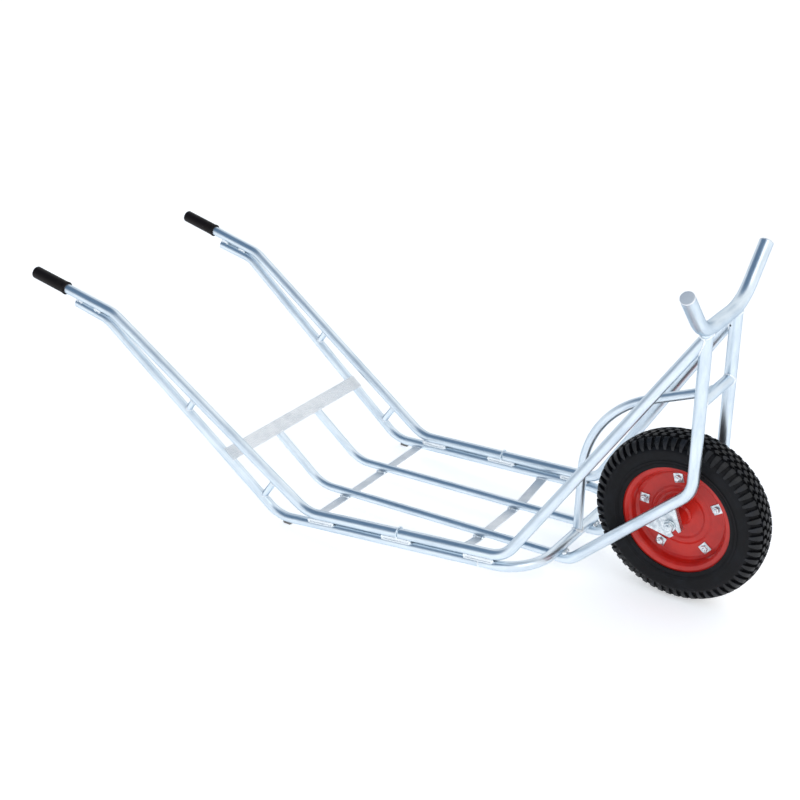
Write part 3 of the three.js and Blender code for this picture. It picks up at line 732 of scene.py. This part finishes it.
for side, s in sides.items():
    for i, (x, length) in enumerate(spacer["webs"]):
        bm = bmesh.new()
        at = Matrix.Translation((x, s * bedHalf(x), webZ)) @ Matrix.Rotation(s * yaw, 4, "Z")
        softBlock(bm, (length, spacer["wide"], spacer["high"]), at, 2.5, 3)
        putPiece(bm, f"bedSpacer{i + 1}_{side}", "weld", stands=[f"bed_spacer_{i + 1}_{side}"])
    for i, x in enumerate(spacer["stubs"]):
        middle, half = slopeGap(x, s)
        line, name = [middle - half, middle + half], "slope_spacer_" + ["upper_", "lower_"][i] + side
        layTube(f"slopeSpacer{i + 1}_{side}", name, line, [], spacer["stub"], 28)
    for i, back in enumerate(lug["back"]):
        at = Matrix.Translation(lugSpot(back, s * (rail["handleHalf"] + 1)))
        bm = bmesh.new()
        softBlock(bm, lug["size"], at @ Matrix.Rotation(handleAngle, 4, "Y"), 2.5, 3)
        name = "handle_lug_" + ["rear_", "front_"][i] + side
        putPiece(bm, f"handleLug{i + 1}_{side}", "weld", stands=[name])
    reach = rail["upper"] / 2 + hook["gap"] + hook["wire"] / 2
    y, low, high = s * bedHalf(hook["x"]), rail["bedZ"] - hook["foot"], rail["bedZ"] + reach
    line = [(hook["x"], y - reach, low), (hook["x"], y - reach, high)]
    line += [(hook["x"], y + reach, high), (hook["x"], y + reach, low)]
    radii = [reach - 0.2] * 2
    layTube("ropeHook_" + side, "rope_hook_" + side, line, radii, hook["wire"], 12, 12, (1, 0, 0))
    bm = bmesh.new()
    near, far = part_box("skid_pad_" + side)
    place = Matrix.Translation(((near.x + far.x) / 2, (near.y + far.y) / 2, 0.004))
    place = place @ Matrix.Scale(0.001, 4)
    softBlock(bm, pad["size"], Matrix(), pad["edge"], 3)
    putPiece(bm, "skidPad_" + side, "rubber", stands=["skid_pad_" + side], place=place)

grip = {"length": 100, "diameter": 29.4, "end": 2.9, "lip": 1, "bore": 23.3}
for side, s in sides.items():
    run = Vector((rail["gripX"] - rail["bendX"], s * (rail["gripHalf"] - rail["handleHalf"]), 0))
    run.z = rail["gripZ"] - rail["bendZ"]
    place = Matrix.Translation((rail["gripX"], s * rail["gripHalf"], rail["gripZ"])) @ facing(run)
    place = place @ Matrix.Rotation(math.pi / 2, 4, "X")
    r, bore, mouth = grip["diameter"] / 2, grip["bore"] / 2, -grip["length"]
    lip = r + grip["lip"]
    profile = [(0.001, 0.3), (bore, 0.3), (bore, mouth, 0.4), (lip, mouth, 1)]
    profile += [(lip, mouth + 4, 0.8), (r, mouth + 5.5, 0.5)]
    for k in range(4):  # shallow grooves behind the lip
        groove = mouth + 12 + 4 * k
        profile += [(r, groove - 0.7, 0.2), (r - 0.5, groove, 0.2), (r, groove + 0.7, 0.2)]
    profile += [(r, grip["end"], 3.2), (0.001, grip["end"])]
    bm = turned(rounded(profile, 4), 64)
    putPiece(bm, "grip_" + side, "vinyl", stands=["grip_" + side], place=level @ place)
print("bars, spacers, hooks, pads and grips made")


# axle, brackets and nuts

bracket = {
    "thick": 4.5,
    "outer": 55.7,
    "foot": -21,
    "slot": 6.3,
    "rear": 49,
    "rearFoot": 17,
    "frontTop": 33,
    "frontFoot": 14,
    "flange": 13,
    "flangeThick": 3,
    "tuck": 4,  # how far the web reaches past the middle of the leg
}
legAngle = math.atan2(fork["hubZ"] - fork["drop"], fork["hubX"] - fork["bendX"])
legAlong = Vector((math.cos(legAngle), 0, math.sin(legAngle)))
legSquare = Vector((-math.sin(legAngle), 0, math.cos(legAngle)))
legOffset = math.cos(legAngle) * (fork["hubZ"] - fork["hubX"] * math.tan(legAngle))
shoulder = legOffset - fork["leg"] / 2 - 2
for side, s in sides.items():
    turnIn = Matrix((legAlong, legSquare, Vector((0, -s, 0)))).transposed().to_4x4()
    place = level @ Matrix.Translation((0, s * bracket["outer"], 0)) @ turnIn
    foot, slot, tuck = bracket["foot"], bracket["slot"], legOffset + bracket["tuck"]
    outline = [(-bracket["rear"], tuck), (-bracket["rear"], shoulder, 3)]
    outline += [(-bracket["rearFoot"], foot, 3), (-slot, foot, 1)]
    for k in range(11):
        angle = math.pi * (1 - k / 10)
        outline.append((slot * math.cos(angle), slot * math.sin(angle)))
    outline += [(slot, foot, 1), (bracket["frontFoot"], foot, 2)]
    outline += [(bracket["frontTop"], shoulder, 3), (bracket["frontTop"], tuck)]
    bm = bmesh.new()
    plateFrom(bm, rounded(outline), bracket["thick"], 0.7)
    edge = Vector((bracket["frontTop"] - bracket["frontFoot"], shoulder - foot))
    lean = math.atan2(edge.y, edge.x)
    inset = bracket["flangeThick"] / 2
    x = (bracket["frontTop"] + bracket["frontFoot"]) / 2 - inset * math.sin(lean)
    y = (shoulder + foot) / 2 + inset * math.cos(lean)
    at = Matrix.Translation((x, y, bracket["flange"] / 2))
    size = (edge.length, bracket["flangeThick"], bracket["flange"])
    softBlock(bm, size, at @ Matrix.Rotation(lean, 4, "Z"), 1.3, 3)
    putPiece(bm, "axleBracket_" + side, "zinc", stands=["axle_bracket_" + side], place=place)

shaft = {
    "radius": 6,
    "plain": 60,
    "half": 69.5,
    "nut": 19,
    "nutFrom": 56,
    "nutThick": 10.5,
    "washer": 12.5,
    "washerThick": 2,
    "washerBore": 6.3,
}
r, plain = shaft["radius"], shaft["plain"]
bm = turned([(0.001, -plain), (r, -plain), (r, plain), (0.001, plain)], 40)
for s in (1, -1):
    turned(threaded(r, s * plain, s * shaft["half"], 1.5, 0.7), 40, bm=bm)
putPiece(bm, "axle", "zinc", stands=["axle"])
nutBase = shaft["nutFrom"] + shaft["washerThick"]
for side, s in sides.items():
    low, high = sorted([s * nutBase, s * (shaft["nutFrom"] + shaft["nutThick"])])
    bm = bmesh.new()
    hexPrism(bm, shaft["nut"], low, high, Matrix.Rotation(math.radians(12), 4, "Y"), 1.1)
    low, high = sorted([s * shaft["nutFrom"], s * nutBase])
    r, bore = shaft["washer"], shaft["washerBore"]
    washer = [(bore, low), (r, low, 0.5), (r, high, 0.5), (bore, high)]
    turned(rounded(washer, 3), 40, closed=True, bm=bm)
    putPiece(bm, "axleNut_" + side, "zinc", stands=["axle_nut_" + side])
print("axle fitted")


# the wheel, whose axis is local Y

wheelRadius = 181
bolts = {"circle": 80.6, "count": 5, "phase": 20.7, "twist": 8, "shank": 4, "washer": 20, "across": 12.5}
rimSheet = 0.0018  # metres, since the modifier works on the finished mesh
rimProfile = [  # radius, distance from the middle of the wheel, fillet
    (18, 3.2),
    (21, 3.2, 2.4),
    (24, 3, 3),
    (47, 3, 6),
    (52, 6, 4),
    (60, 6, 4),
    (65, 3, 6),
    (91, 3, 5),
    (97, 8, 4),
    (99.2, 20, 6),
    (103.3, 25.6, 3),
    (111, 28, 2.5),
    (114.4, 27.4, 1),
    (113.6, 26, 0.5),
]
for side, s in sides.items():
    bm = turned(rounded(rimProfile, 5), 128)
    if s < 0:
        bmesh.ops.scale(bm, vec=(1, -1, 1), verts=bm.verts)
    stands, away = ["rim_half_" + side], Vector((0, s, 0))
    piece = putPiece(bm, "rimHalf_" + side, "paint", "wheel", stands, crease=50, outside=away)
    shell = piece.modifiers.new("sheet", "SOLIDIFY")
    shell.thickness, shell.offset = rimSheet, -1

hub = {"radius": 18, "half": 42, "bore": 16.2}
r, bore, end = hub["radius"], hub["bore"], hub["half"]
profile = [(bore, -end, 0.3), (r, -end, 0.8), (r, -9, 2), (22.5, -5.5, 2), (22.5, 5.5, 2), (r, 9, 2)]
profile += [(r, end, 0.8), (bore, end, 0.3), (bore, 31), (10, 31), (10, -31), (bore, -31)]
bm = turned(rounded(profile, 4), 72, closed=True)
putPiece(bm, "hubShell", "paint", "wheel", ["hub_shell"])
for side, s in sides.items():
    profile = [(6.3, 32), (15.9, 32), (15.9, 42, 0.4), (13.6, 42, 0.2)]
    profile += [(13.2, 41.2), (10.6, 41.2), (10.2, 42, 0.2)]  # the seal sits a little below the rings
    profile += [(9.9, 42), (9.9, 50.9, 0.5), (6.3, 50.9, 0.3)]
    bm = turned(rounded(profile, 3), 64, closed=True)
    if s < 0:
        bmesh.ops.scale(bm, vec=(1, -1, 1), verts=bm.verts)
    putPiece(bm, "bearing_" + side, "steel", "wheel", ["bearing_" + side])

for i in range(bolts["count"]):
    angle = math.radians(bolts["phase"] + i * 360 / bolts["count"])
    spot = Vector((bolts["circle"] * math.cos(angle), 0, bolts["circle"] * math.sin(angle)))
    spot = Matrix.Translation(spot) @ Matrix.Rotation(-angle - math.radians(bolts["twist"]), 4, "Y")
    bm = bmesh.new()
    hexPrism(bm, bolts["across"], 3.3, 8.8, chamfer=0.7)
    r = bolts["shank"]
    turned([(0.001, -6), (r, -6), (r, 4), (0.001, 4)], 24, bm=bm)
    turned(threaded(r, -6, -14), 24, bm=bm)
    putPiece(bm, f"rimBolt{i + 1}", "zinc", "wheel", [f"rim_bolt_{i + 1}"], place=level @ spot)
    bm = bmesh.new()
    size = (bolts["washer"], 1.8, bolts["washer"])
    softBlock(bm, size, Matrix.Translation((0, -4.2, 0)), 0.45, 2)
    skew = Matrix.Rotation(math.radians(20 + 17 * i), 4, "Y")
    hexPrism(bm, bolts["across"], -11.1, -5.1, skew, 0.8)
    putPiece(bm, f"rimNut{i + 1}", "zinc", "wheel", [f"rim_nut_{i + 1}"], place=level @ spot)

# tyre: a carcass turned from its profile, with moulded blocks standing on it
crown = [(180.8, 0), (178.6, 20, 40), (172.2, 31.5, 16), (160, 37.6, 14), (144, 39, 26), (128, 35.5)]
crown = rounded(crown, 8)
tread = {
    "pitches": 60,
    "groove": 6.2,
    "sink": 7.6,
    "edge": 0.5,
    "fade": 44,
    "end": 53,
    "lugFade": 46,
    "lugFall": 0.16,
}


def onCrown(across):  # point of the tread surface and its outward direction, at a run from the middle
    left = abs(across)
    for a, b in zip(crown, crown[1:]):
        run = (b - a).length
        if left <= run or b is crown[-1]:
            point = a + (b - a) * (left / run)
            along = (b - a).normalized()
            return point, Vector((along.y, -along.x))
        left -= run


def carcassAt(across):
    point, out = onCrown(across)
    fade = (abs(across) - tread["fade"]) / (tread["end"] + 2 - tread["fade"])
    depth = tread["groove"] * (1 - min(max(fade, 0), 1))
    return point - out * depth


half = [carcassAt(k * 1.5) for k in range(41)]
half += rounded([(131, 36.6, 1), (130, 36.2, 0.5), (129, 36.6, 1), (122.5, 33.6, 1), (121.5, 34, 0.6)], 3)
half += rounded([(119, 32.5, 1), (116.4, 29, 2), (112, 25.2), (104, 23), (103, 20), (106, 15), (118, 21)], 3)
half += [Vector((132, 31.5)), Vector((147, 32)), Vector((160, 25)), Vector((164, 12))]
bm = turned([(p.x, -p.y) for p in reversed(half[1:])] + half + [(166, 0)], 180, closed=True)
putPiece(bm, "tyreCarcass", "tyre", "wheel", ["tyre"], crease=60)

pitchRun = turn * wheelRadius / tread["pitches"]
rows = [  # phase, outline of (round, across) in shares of the pitch and millimetres
    (0.0, [(0.06, 1.2), (0.62, 0.9), (0.86, 5.2), (0.62, 9.6), (0.06, 9.3), (0.3, 5.2)]),
    (0.5, [(0.06, 11.6), (0.6, 12.2), (0.84, 16.6), (0.66, 21.0), (0.1, 20.4), (0.32, 16.2)]),
    (0.12, [(0.08, 23.4), (0.66, 24.0), (0.7, 36), (0.58, 53), (0.26, 53), (0.12, 36)]),
]
bm = bmesh.new()
for s in (1, -1):
    for phase, outline in rows:
        shift = phase + (0 if s > 0 else 0.5)
        points = [((u + shift) * pitchRun, s * v) for u, v in outline]
        points = points if s > 0 else points[::-1]
        low = [bm.verts.new((u, v, -tread["sink"])) for u, v in points]
        face = bm.faces.new(low)
        made = bmesh.ops.extrude_face_region(bm, geom=[face])
        high = vertsOf(made)
        bmesh.ops.translate(bm, vec=(0, 0, tread["sink"]), verts=high)
        rim = [e for e in {e for v in high for e in v.link_edges} if set(e.verts) <= set(high)]
        soften(bm, rim, tread["edge"], 1)
# long lug sides are cut across so that they follow the shoulder
for across in (5.2, 16.4, 28, 31, 34, 37, 40, 43, 46, 49):
    for s in (1, -1):
        geom = list(bm.verts) + list(bm.edges) + list(bm.faces)
        bmesh.ops.bisect_plane(bm, geom=geom, plane_co=(0, s * across, 0), plane_no=(0, 1, 0))
for v in bm.verts:
    point, out = onCrown(v.co.y)
    depth = v.co.z - max(abs(v.co.y) - tread["lugFade"], 0) * tread["lugFall"]
    point = point + out * depth
    angle = v.co.x / wheelRadius
    offset = point.y if v.co.y > 0 else -point.y
    v.co = (point.x * math.cos(angle), offset, point.x * math.sin(angle))
step = turn / tread["pitches"]
geom, count = list(bm.verts) + list(bm.edges) + list(bm.faces), tread["pitches"] - 1
bmesh.ops.spin(
    bm, geom=geom, cent=(0, 0, 0), axis=(0, 1, 0), angle=turn - step, steps=count, use_duplicate=True
)
putPiece(bm, "tyreTread", "tread", "wheel", crease=30)

# inner tube with its valve, whose cap shows on the left
tubeSize = {"radius": 136, "high": 25.5, "wide": 21.5}
valve = {"angle": 128.7, "root": (116, -4), "tip": (84, 22), "stem": 6.5, "cap": 10.4}
ring = [Vector((math.cos(turn * k / 24), math.sin(turn * k / 24))) for k in range(24)]
profile = [(tubeSize["radius"] + tubeSize["high"] * p.x, tubeSize["wide"] * p.y) for p in ring]
bm = turned(profile, 96, closed=True)
spread = math.radians(valve["angle"])


def onValve(radius, y):
    return Vector((radius * math.cos(spread), y, radius * math.sin(spread)))


root, tip = onValve(*valve["root"]), onValve(*valve["tip"])
sweepAlong(bm, [root, tip], [], roundRing(valve["stem"], 24))
putPiece(bm, "innerTube", "rubber", "wheel", ["inner_tube"])
run = (tip - root).normalized()
place = level @ Matrix.Translation(tip) @ facing(run) @ Matrix.Rotation(math.pi / 2, 4, "X")
r = valve["cap"] / 2
profile = [(3.5, -9), (r, -9, 0.6)]
for k in range(4):
    profile += [(r, -7.5 + 2 * k, 0.2), (r - 0.5, -7 + 2 * k, 0.2), (r, -6.5 + 2 * k, 0.2)]
profile += [(r, 2.4, 1.4), (0.001, 2.4)]
bm = turned(rounded(profile, 3), 40)
putPiece(bm, "valveCap", "vinyl", "wheel", ["valve_cap"], place=place)
print("wheel built")


# weld beads

beadSizes = {  # width and height
    "usual": (5, 1.7),
    "bracket": (6, 2.6),
    "loop": (7, 3),
    "legTail": (5, 1.8),
    "bar": (4, 1.6),
    "stripEnd": (4.6, 2),
    "stripSide": (4, 1.8),
    "barTop": (4.6, 1.7),
    "split": (4, 1),
    "web": (4.6, 1.9),
    "stub": (4.2, 1.6),
    "lug": (3.8, 1.8),
    "plate": (4.2, 1.7),
    "archTop": (5.4, 2),
    "archFoot": (7, 2.8),
}
beadLook = {"pitch": 2.1, "jitter": 0.22, "lean": -18}
scrap = bpy.data.meshes.new("scrap")


def addBlob(bm, where, segments=10, rings=6):
    # made apart and joined on, which stays quick as the count grows
    small = bmesh.new()
    bmesh.ops.create_uvsphere(small, u_segments=segments, v_segments=rings, radius=1, matrix=where)
    small.to_mesh(scrap)
    small.free()
    bm.from_mesh(scrap, face_normals=False)


def bead(bm, path, kind="usual", closed=True):
    # overlapping scales along a path of (point, outward) pairs
    wide, high = beadSizes[kind]
    lean = Matrix.Rotation(math.radians(beadLook["lean"]), 4, "Y")
    path = path + path[:1] if closed else path
    gone, due = 0, 0
    for (a, na), (b, nb) in zip(path, path[1:]):
        run = (b - a).length
        while run > 0 and due <= gone + run:
            share = (due - gone) / run
            along, out = (b - a).normalized(), (na.lerp(nb, share)).normalized()
            across = out.cross(along).normalized()
            out = along.cross(across)
            turnTo = Matrix((along, across, out)).transposed().to_4x4() @ lean
            grow = [1 + beadLook["jitter"] * chance.uniform(-1, 1) for _ in range(3)]
            size = (wide * 0.42 * grow[0], wide / 2 * grow[1], high * grow[2], 1)
            spot = a.lerp(b, share) + across * wide * 0.08 * chance.uniform(-1, 1)
            addBlob(bm, Matrix.Translation(spot) @ turnTo @ Matrix.Diagonal(size))
            due += beadLook["pitch"]
        gone += run


def saddle(centre, branch, branchRadius, main, mainRadius, steps=40):
    # the line where a tube running off along branch leaves the outside of one along main
    centre, branch, main = Vector(centre), Vector(branch).normalized(), Vector(main).normalized()
    across = branch.cross(main).normalized()
    up = across.cross(branch)
    path = []
    for k in range(steps):
        spoke = across * math.cos(turn * k / steps) + up * math.sin(turn * k / steps)
        start = spoke * branchRadius
        flat, slide = start - main * start.dot(main), branch - main * branch.dot(main)
        a, b, c = slide.dot(slide), flat.dot(slide), flat.dot(flat) - mainRadius**2
        t = (-b + math.sqrt(max(b * b - a * c, 0))) / a
        out = (flat + slide * t).normalized() + spoke
        path.append((centre + start + branch * t, out.normalized()))
    return path


def hoop(centre, axis, radius, steps=32):
    turnTo = facing(axis)
    path = []
    for k in range(steps):
        spoke = turnTo @ Vector((math.cos(turn * k / steps), math.sin(turn * k / steps), 0))
        path.append((Vector(centre) + spoke * radius, spoke))
    return path


def seam(bm, a, b, out, kind):
    out = Vector(out).normalized()
    bead(bm, [(Vector(a), out), (Vector(b), out)], kind, closed=False)


def lump(bm, at, size):
    grow = [1 + 0.15 * chance.uniform(-1, 1) for _ in range(3)]
    where = Matrix.Translation(at) @ Matrix.Diagonal((*[a * g for a, g in zip(size, grow)], 1))
    addBlob(bm, where, 14, 9)


slopeDir = Vector((math.cos(slopeAngle), 0, -math.sin(slopeAngle)))
upperDir = Vector((math.cos(upperSlopeAngle), 0, -math.sin(upperSlopeAngle)))
legDir = Vector((fork["topX"] - fork["hubX"], 0, fork["topZ"] - fork["hubZ"])).normalized()
upperR, lowerR, legR = rail["upper"] / 2, rail["lower"] / 2, fork["leg"] / 2
barR, stubR = bed["bar"] / 2, spacer["stub"] / 2
for side, s in sides.items():
    bm = bmesh.new()
    y = s * fork["half"]
    bead(bm, saddle((fork["topX"], y, fork["topZ"]), -legDir, legR, (0, 1, 0), cradle["tube"] / 2))
    join = Vector((legX(fork["joinZ"]), y, fork["joinZ"]))
    back = Vector((rail["frontX"], s * rail["frontHalf"], rail["bedZ"])) - join
    bead(bm, saddle(join, back, upperR, legDir, legR))
    bead(bm, saddle((crossX, y, fork["crossZ"]), (0, -s, 0), fork["cross"] / 2, legDir, legR))
    edge = legSquare * (shoulder + 5.2) + Vector((0, s * (bracket["outer"] + 1.6), 0))
    a, b = legAlong * (1 - bracket["rear"]) + edge, legAlong * (bracket["frontTop"] - 1) + edge
    seam(bm, a, b, Vector((0, s, 0)) - legSquare, "bracket")
    putPiece(bm, "weldsFork_" + side, "weld", crease=80)

    bm = bmesh.new()
    loopTop = Vector((bed["loopX"], s * fork["half"], rail["lowerZ"]))
    for dx in (-8.5, 8.5):
        a, b = loopTop + Vector((dx, -9, -11.2)), loopTop + Vector((dx, 9, -11.2))
        seam(bm, a, b, (math.copysign(1, dx), 0, 0.3), "loop")
    lump(bm, loopTop + Vector((11.5, s * 6, -11)), (4.2, 4, 3.4))
    lump(bm, loopTop + Vector((10.5, s * -6, -11)), (3.6, 4, 3.2))
    tail = (fork["rearX"], s * (fork["half"] + 1.5), fork["drop"] + 3)
    bead(bm, hoop(tail, (1, 0, 0), 10.6), "legTail")
    for end, x in bed["strips"].items():
        low, high = stripLow[end]
        z = low + strip["thick"] / 2 + 1.6
        for t in (1, -1):
            for dx in (-9.5, 9.5):
                lump(bm, Vector((x + dx, s * bed["barHalf"] + t * 8, z)), (4, 3.6, 2.8))
            y = s * bed["barHalf"] + t * 6.5
            seam(bm, (x - 8, y, z - 0.6), (x + 8, y, z - 0.6), (0, t, 0.6), "bar")
        inner = s * (bedHalf(x) - lowerR + 1.5)
        a, b = (x - strip["wide"] / 2, inner, high + 1), (x + strip["wide"] / 2, inner, high + 1)
        seam(bm, a, b, (0, -s, 1), "stripEnd")
        for dx in (-1, 1):
            rim = x + dx * (strip["wide"] / 2 + 0.5)
            a, b = (rim, inner - s * 5, high + 0.5), (rim, inner + s * 3, high + 2)
            seam(bm, a, b, (dx, 0, 0.6), "stripSide")
    barTop = Vector((barTopX, s * bed["barHalf"], lowerSlope(barTopX) + barLift))
    bead(bm, hoop(barTop + slopeDir * 0.5, slopeDir, barR + 0.4), "barTop")
    putPiece(bm, "weldsBed_" + side, "weld", crease=80)

    bm = bmesh.new()
    split = (bed["splitX"], s * splitHalf, rail["lowerZ"])
    bead(bm, hoop(split, (1, s * math.tan(yaw), 0), lowerR), "split")
    for x, length in spacer["webs"]:
        for t in (1, -1):
            out = t * (spacer["wide"] / 2 + 0.2)
            spots = (x - length / 2, x + length / 2)
            ends = [Vector((u, s * bedHalf(u) + out, 0)) for u in spots]
            for z, lean in ((rail["bedZ"] - 8.6, 0.3), (rail["lowerZ"] + 7.8, -0.3)):
                a, b = [e + Vector((0, 0, z)) for e in ends]
                seam(bm, a, b, (0, t, lean), "web")
            for e in ends:
                lump(bm, e + Vector((0, -t * 1.6, webZ)), (4.6, 3.4, 5))
    for x in spacer["stubs"]:
        middle, half = slopeGap(x, s)
        bead(bm, saddle(middle + half, -half, stubR, upperDir, upperR), "stub")
        bead(bm, saddle(middle - half, half, stubR, slopeDir, lowerR), "stub")
    for back in lug["back"]:
        for t in (1, -1):
            centre = lugSpot(back, s * (rail["handleHalf"] + 1) + t * 5.4)
            path = []
            for k in range(24):
                a = turn * k / 24
                spoke = Vector((9 * math.cos(a), 0, 5.2 * math.sin(a)))
                spoke = Matrix.Rotation(handleAngle, 3, "Y") @ spoke
                path.append((centre + spoke, (spoke.normalized() + Vector((0, t * 1.4, 0))).normalized()))
            bead(bm, path, "lug")
    y = s * slopeHalf(bed["plateX"])
    for edge in (-1, 1):
        a, b = [platePlace @ Vector((edgeX * edge, y + dy, -1.8)) for dy in (-5, 5)]
        out = platePlace.to_3x3() @ Vector((edge, 0, 0.5))
        seam(bm, a, b, out, "plate")
    for t in (1, -1):
        foot = Vector((hook["x"], s * bedHalf(hook["x"]) + t * 12.6, rail["bedZ"] - hook["foot"] - 0.5))
        lump(bm, foot, (3, 2.2, 3))
    putPiece(bm, "weldsRail_" + side, "weld", crease=80)

bm = bmesh.new()
archTop = Vector((crossX, 0, fork["crossZ"]))
backAlong = Vector((arch["bendX"], 0, arch["bendZ"])) - archTop
bead(bm, saddle(archTop, backAlong, arch["tube"] / 2, (0, 1, 0), fork["cross"] / 2), "archTop")
archFoot = Vector((bed["loopX"], 0, rail["lowerZ"]))
upAlong = Vector((arch["bendX"], 0, arch["bendZ"])) - archFoot
bead(bm, saddle(archFoot, upAlong, arch["tube"] / 2 + 0.5, (0, 1, 0), lowerR), "archFoot")
putPiece(bm, "weldsArch", "weld", crease=80)
bpy.data.meshes.remove(scrap)

# a near-black disc sunk into the fork leg paints the shade inside its drain hole
drain = {"z": 387, "way": (-0.55, -0.83, 0), "radius": 2.3, "deep": 2.2}
bm = bmesh.new()
way = Vector(drain["way"]).normalized()
at = Matrix.Translation(Vector((legX(drain["z"]), fork["half"], drain["z"])) + way * (legR - 0.9))
prism(bm, 20, drain["radius"], drain["deep"], at @ facing(way))
putPiece(bm, "drainHoleShade", "holeShade")
print("welds laid")


# floor, light and camera

ground = {"size": 80, "drop": 0.0004}
bm = bmesh.new()
flat = Matrix.Translation((0, 0, -ground["drop"]))
bmesh.ops.create_grid(bm, x_segments=1, y_segments=1, size=ground["size"] / 2, matrix=flat)


def paleFloor(net):
    haze = net.noise(ownPlace(net), 0.4, 2)
    return {
        "Base Color": net.mix(haze, rgb(0.94, 0.94, 0.94), rgb(0.92, 0.92, 0.925)),
        "Roughness": 0.9,
        "Specular IOR Level": 0.1,
        "Emission Color": net.mix(haze, rgb(1, 1, 1), rgb(0.98, 0.985, 0.99)),
        "Emission Strength": 0.46,
    }


floor = newObject(bm, "floor", newFinish("pale floor", paleFloor))

room = {
    "strength": 1.04,
    "pale": rgb(0.97, 0.985, 1.0),
    "dim": rgb(0.11, 0.19, 0.3),
    "dimWay": (-0.451, -0.351, 0.821),
    "dimFrom": 0.5,
    "dimTo": 0.86,
}
world = bpy.data.worlds.new("studio")
world.use_nodes = True
scene.world = world
net = Net(world.node_tree)
way = net.node("TexCoord", out=0)
toDim = net.node("VectorMath", {"operation": "DOT_PRODUCT"}, {0: way, 1: room["dimWay"]}, out=1)
shade = net.steep(toDim, room["dimFrom"], room["dimTo"])
sky = net.mix(shade, room["pale"], room["dim"])
seen = net.node("LightPath", out=0)
sky = net.mix(seen, sky, rgb(1, 1, 1))
glow = net.node("Background", {}, {"Color": sky, "Strength": room["strength"]})
net.node("OutputWorld", {}, {"Surface": glow})

lamps = [
    {"name": "keySoft", "at": (2.4, -1.6, 2.7), "size": 2.2, "power": 16},
    {"name": "sideSoft", "at": (0.2, -3.2, 1.6), "size": 1.6, "power": 4},
]
aim = Vector((0.2, 0, 0.3))
for lamp in lamps:
    data = bpy.data.lights.new(lamp["name"], "AREA")
    data.shape, data.size, data.energy = "DISK", lamp["size"], lamp["power"]
    light = bpy.data.objects.new(lamp["name"], data)
    light.location = lamp["at"]
    light.rotation_euler = (aim - Vector(lamp["at"])).to_track_quat("-Z", "Y").to_euler()
    scene.collection.objects.link(light)

shot = {"at": (1.59255, -2.18368, 1.53013), "turn": (64.709, 1.188, 35.481), "lens": 60.2}
cameraData = bpy.data.cameras.new("camera")
cameraData.lens = shot["lens"]
camera = bpy.data.objects.new("camera", cameraData)
camera.location = shot["at"]
camera.rotation_euler = [math.radians(a) for a in shot["turn"]]
scene.collection.objects.link(camera)
scene.camera = camera
print("stage set")
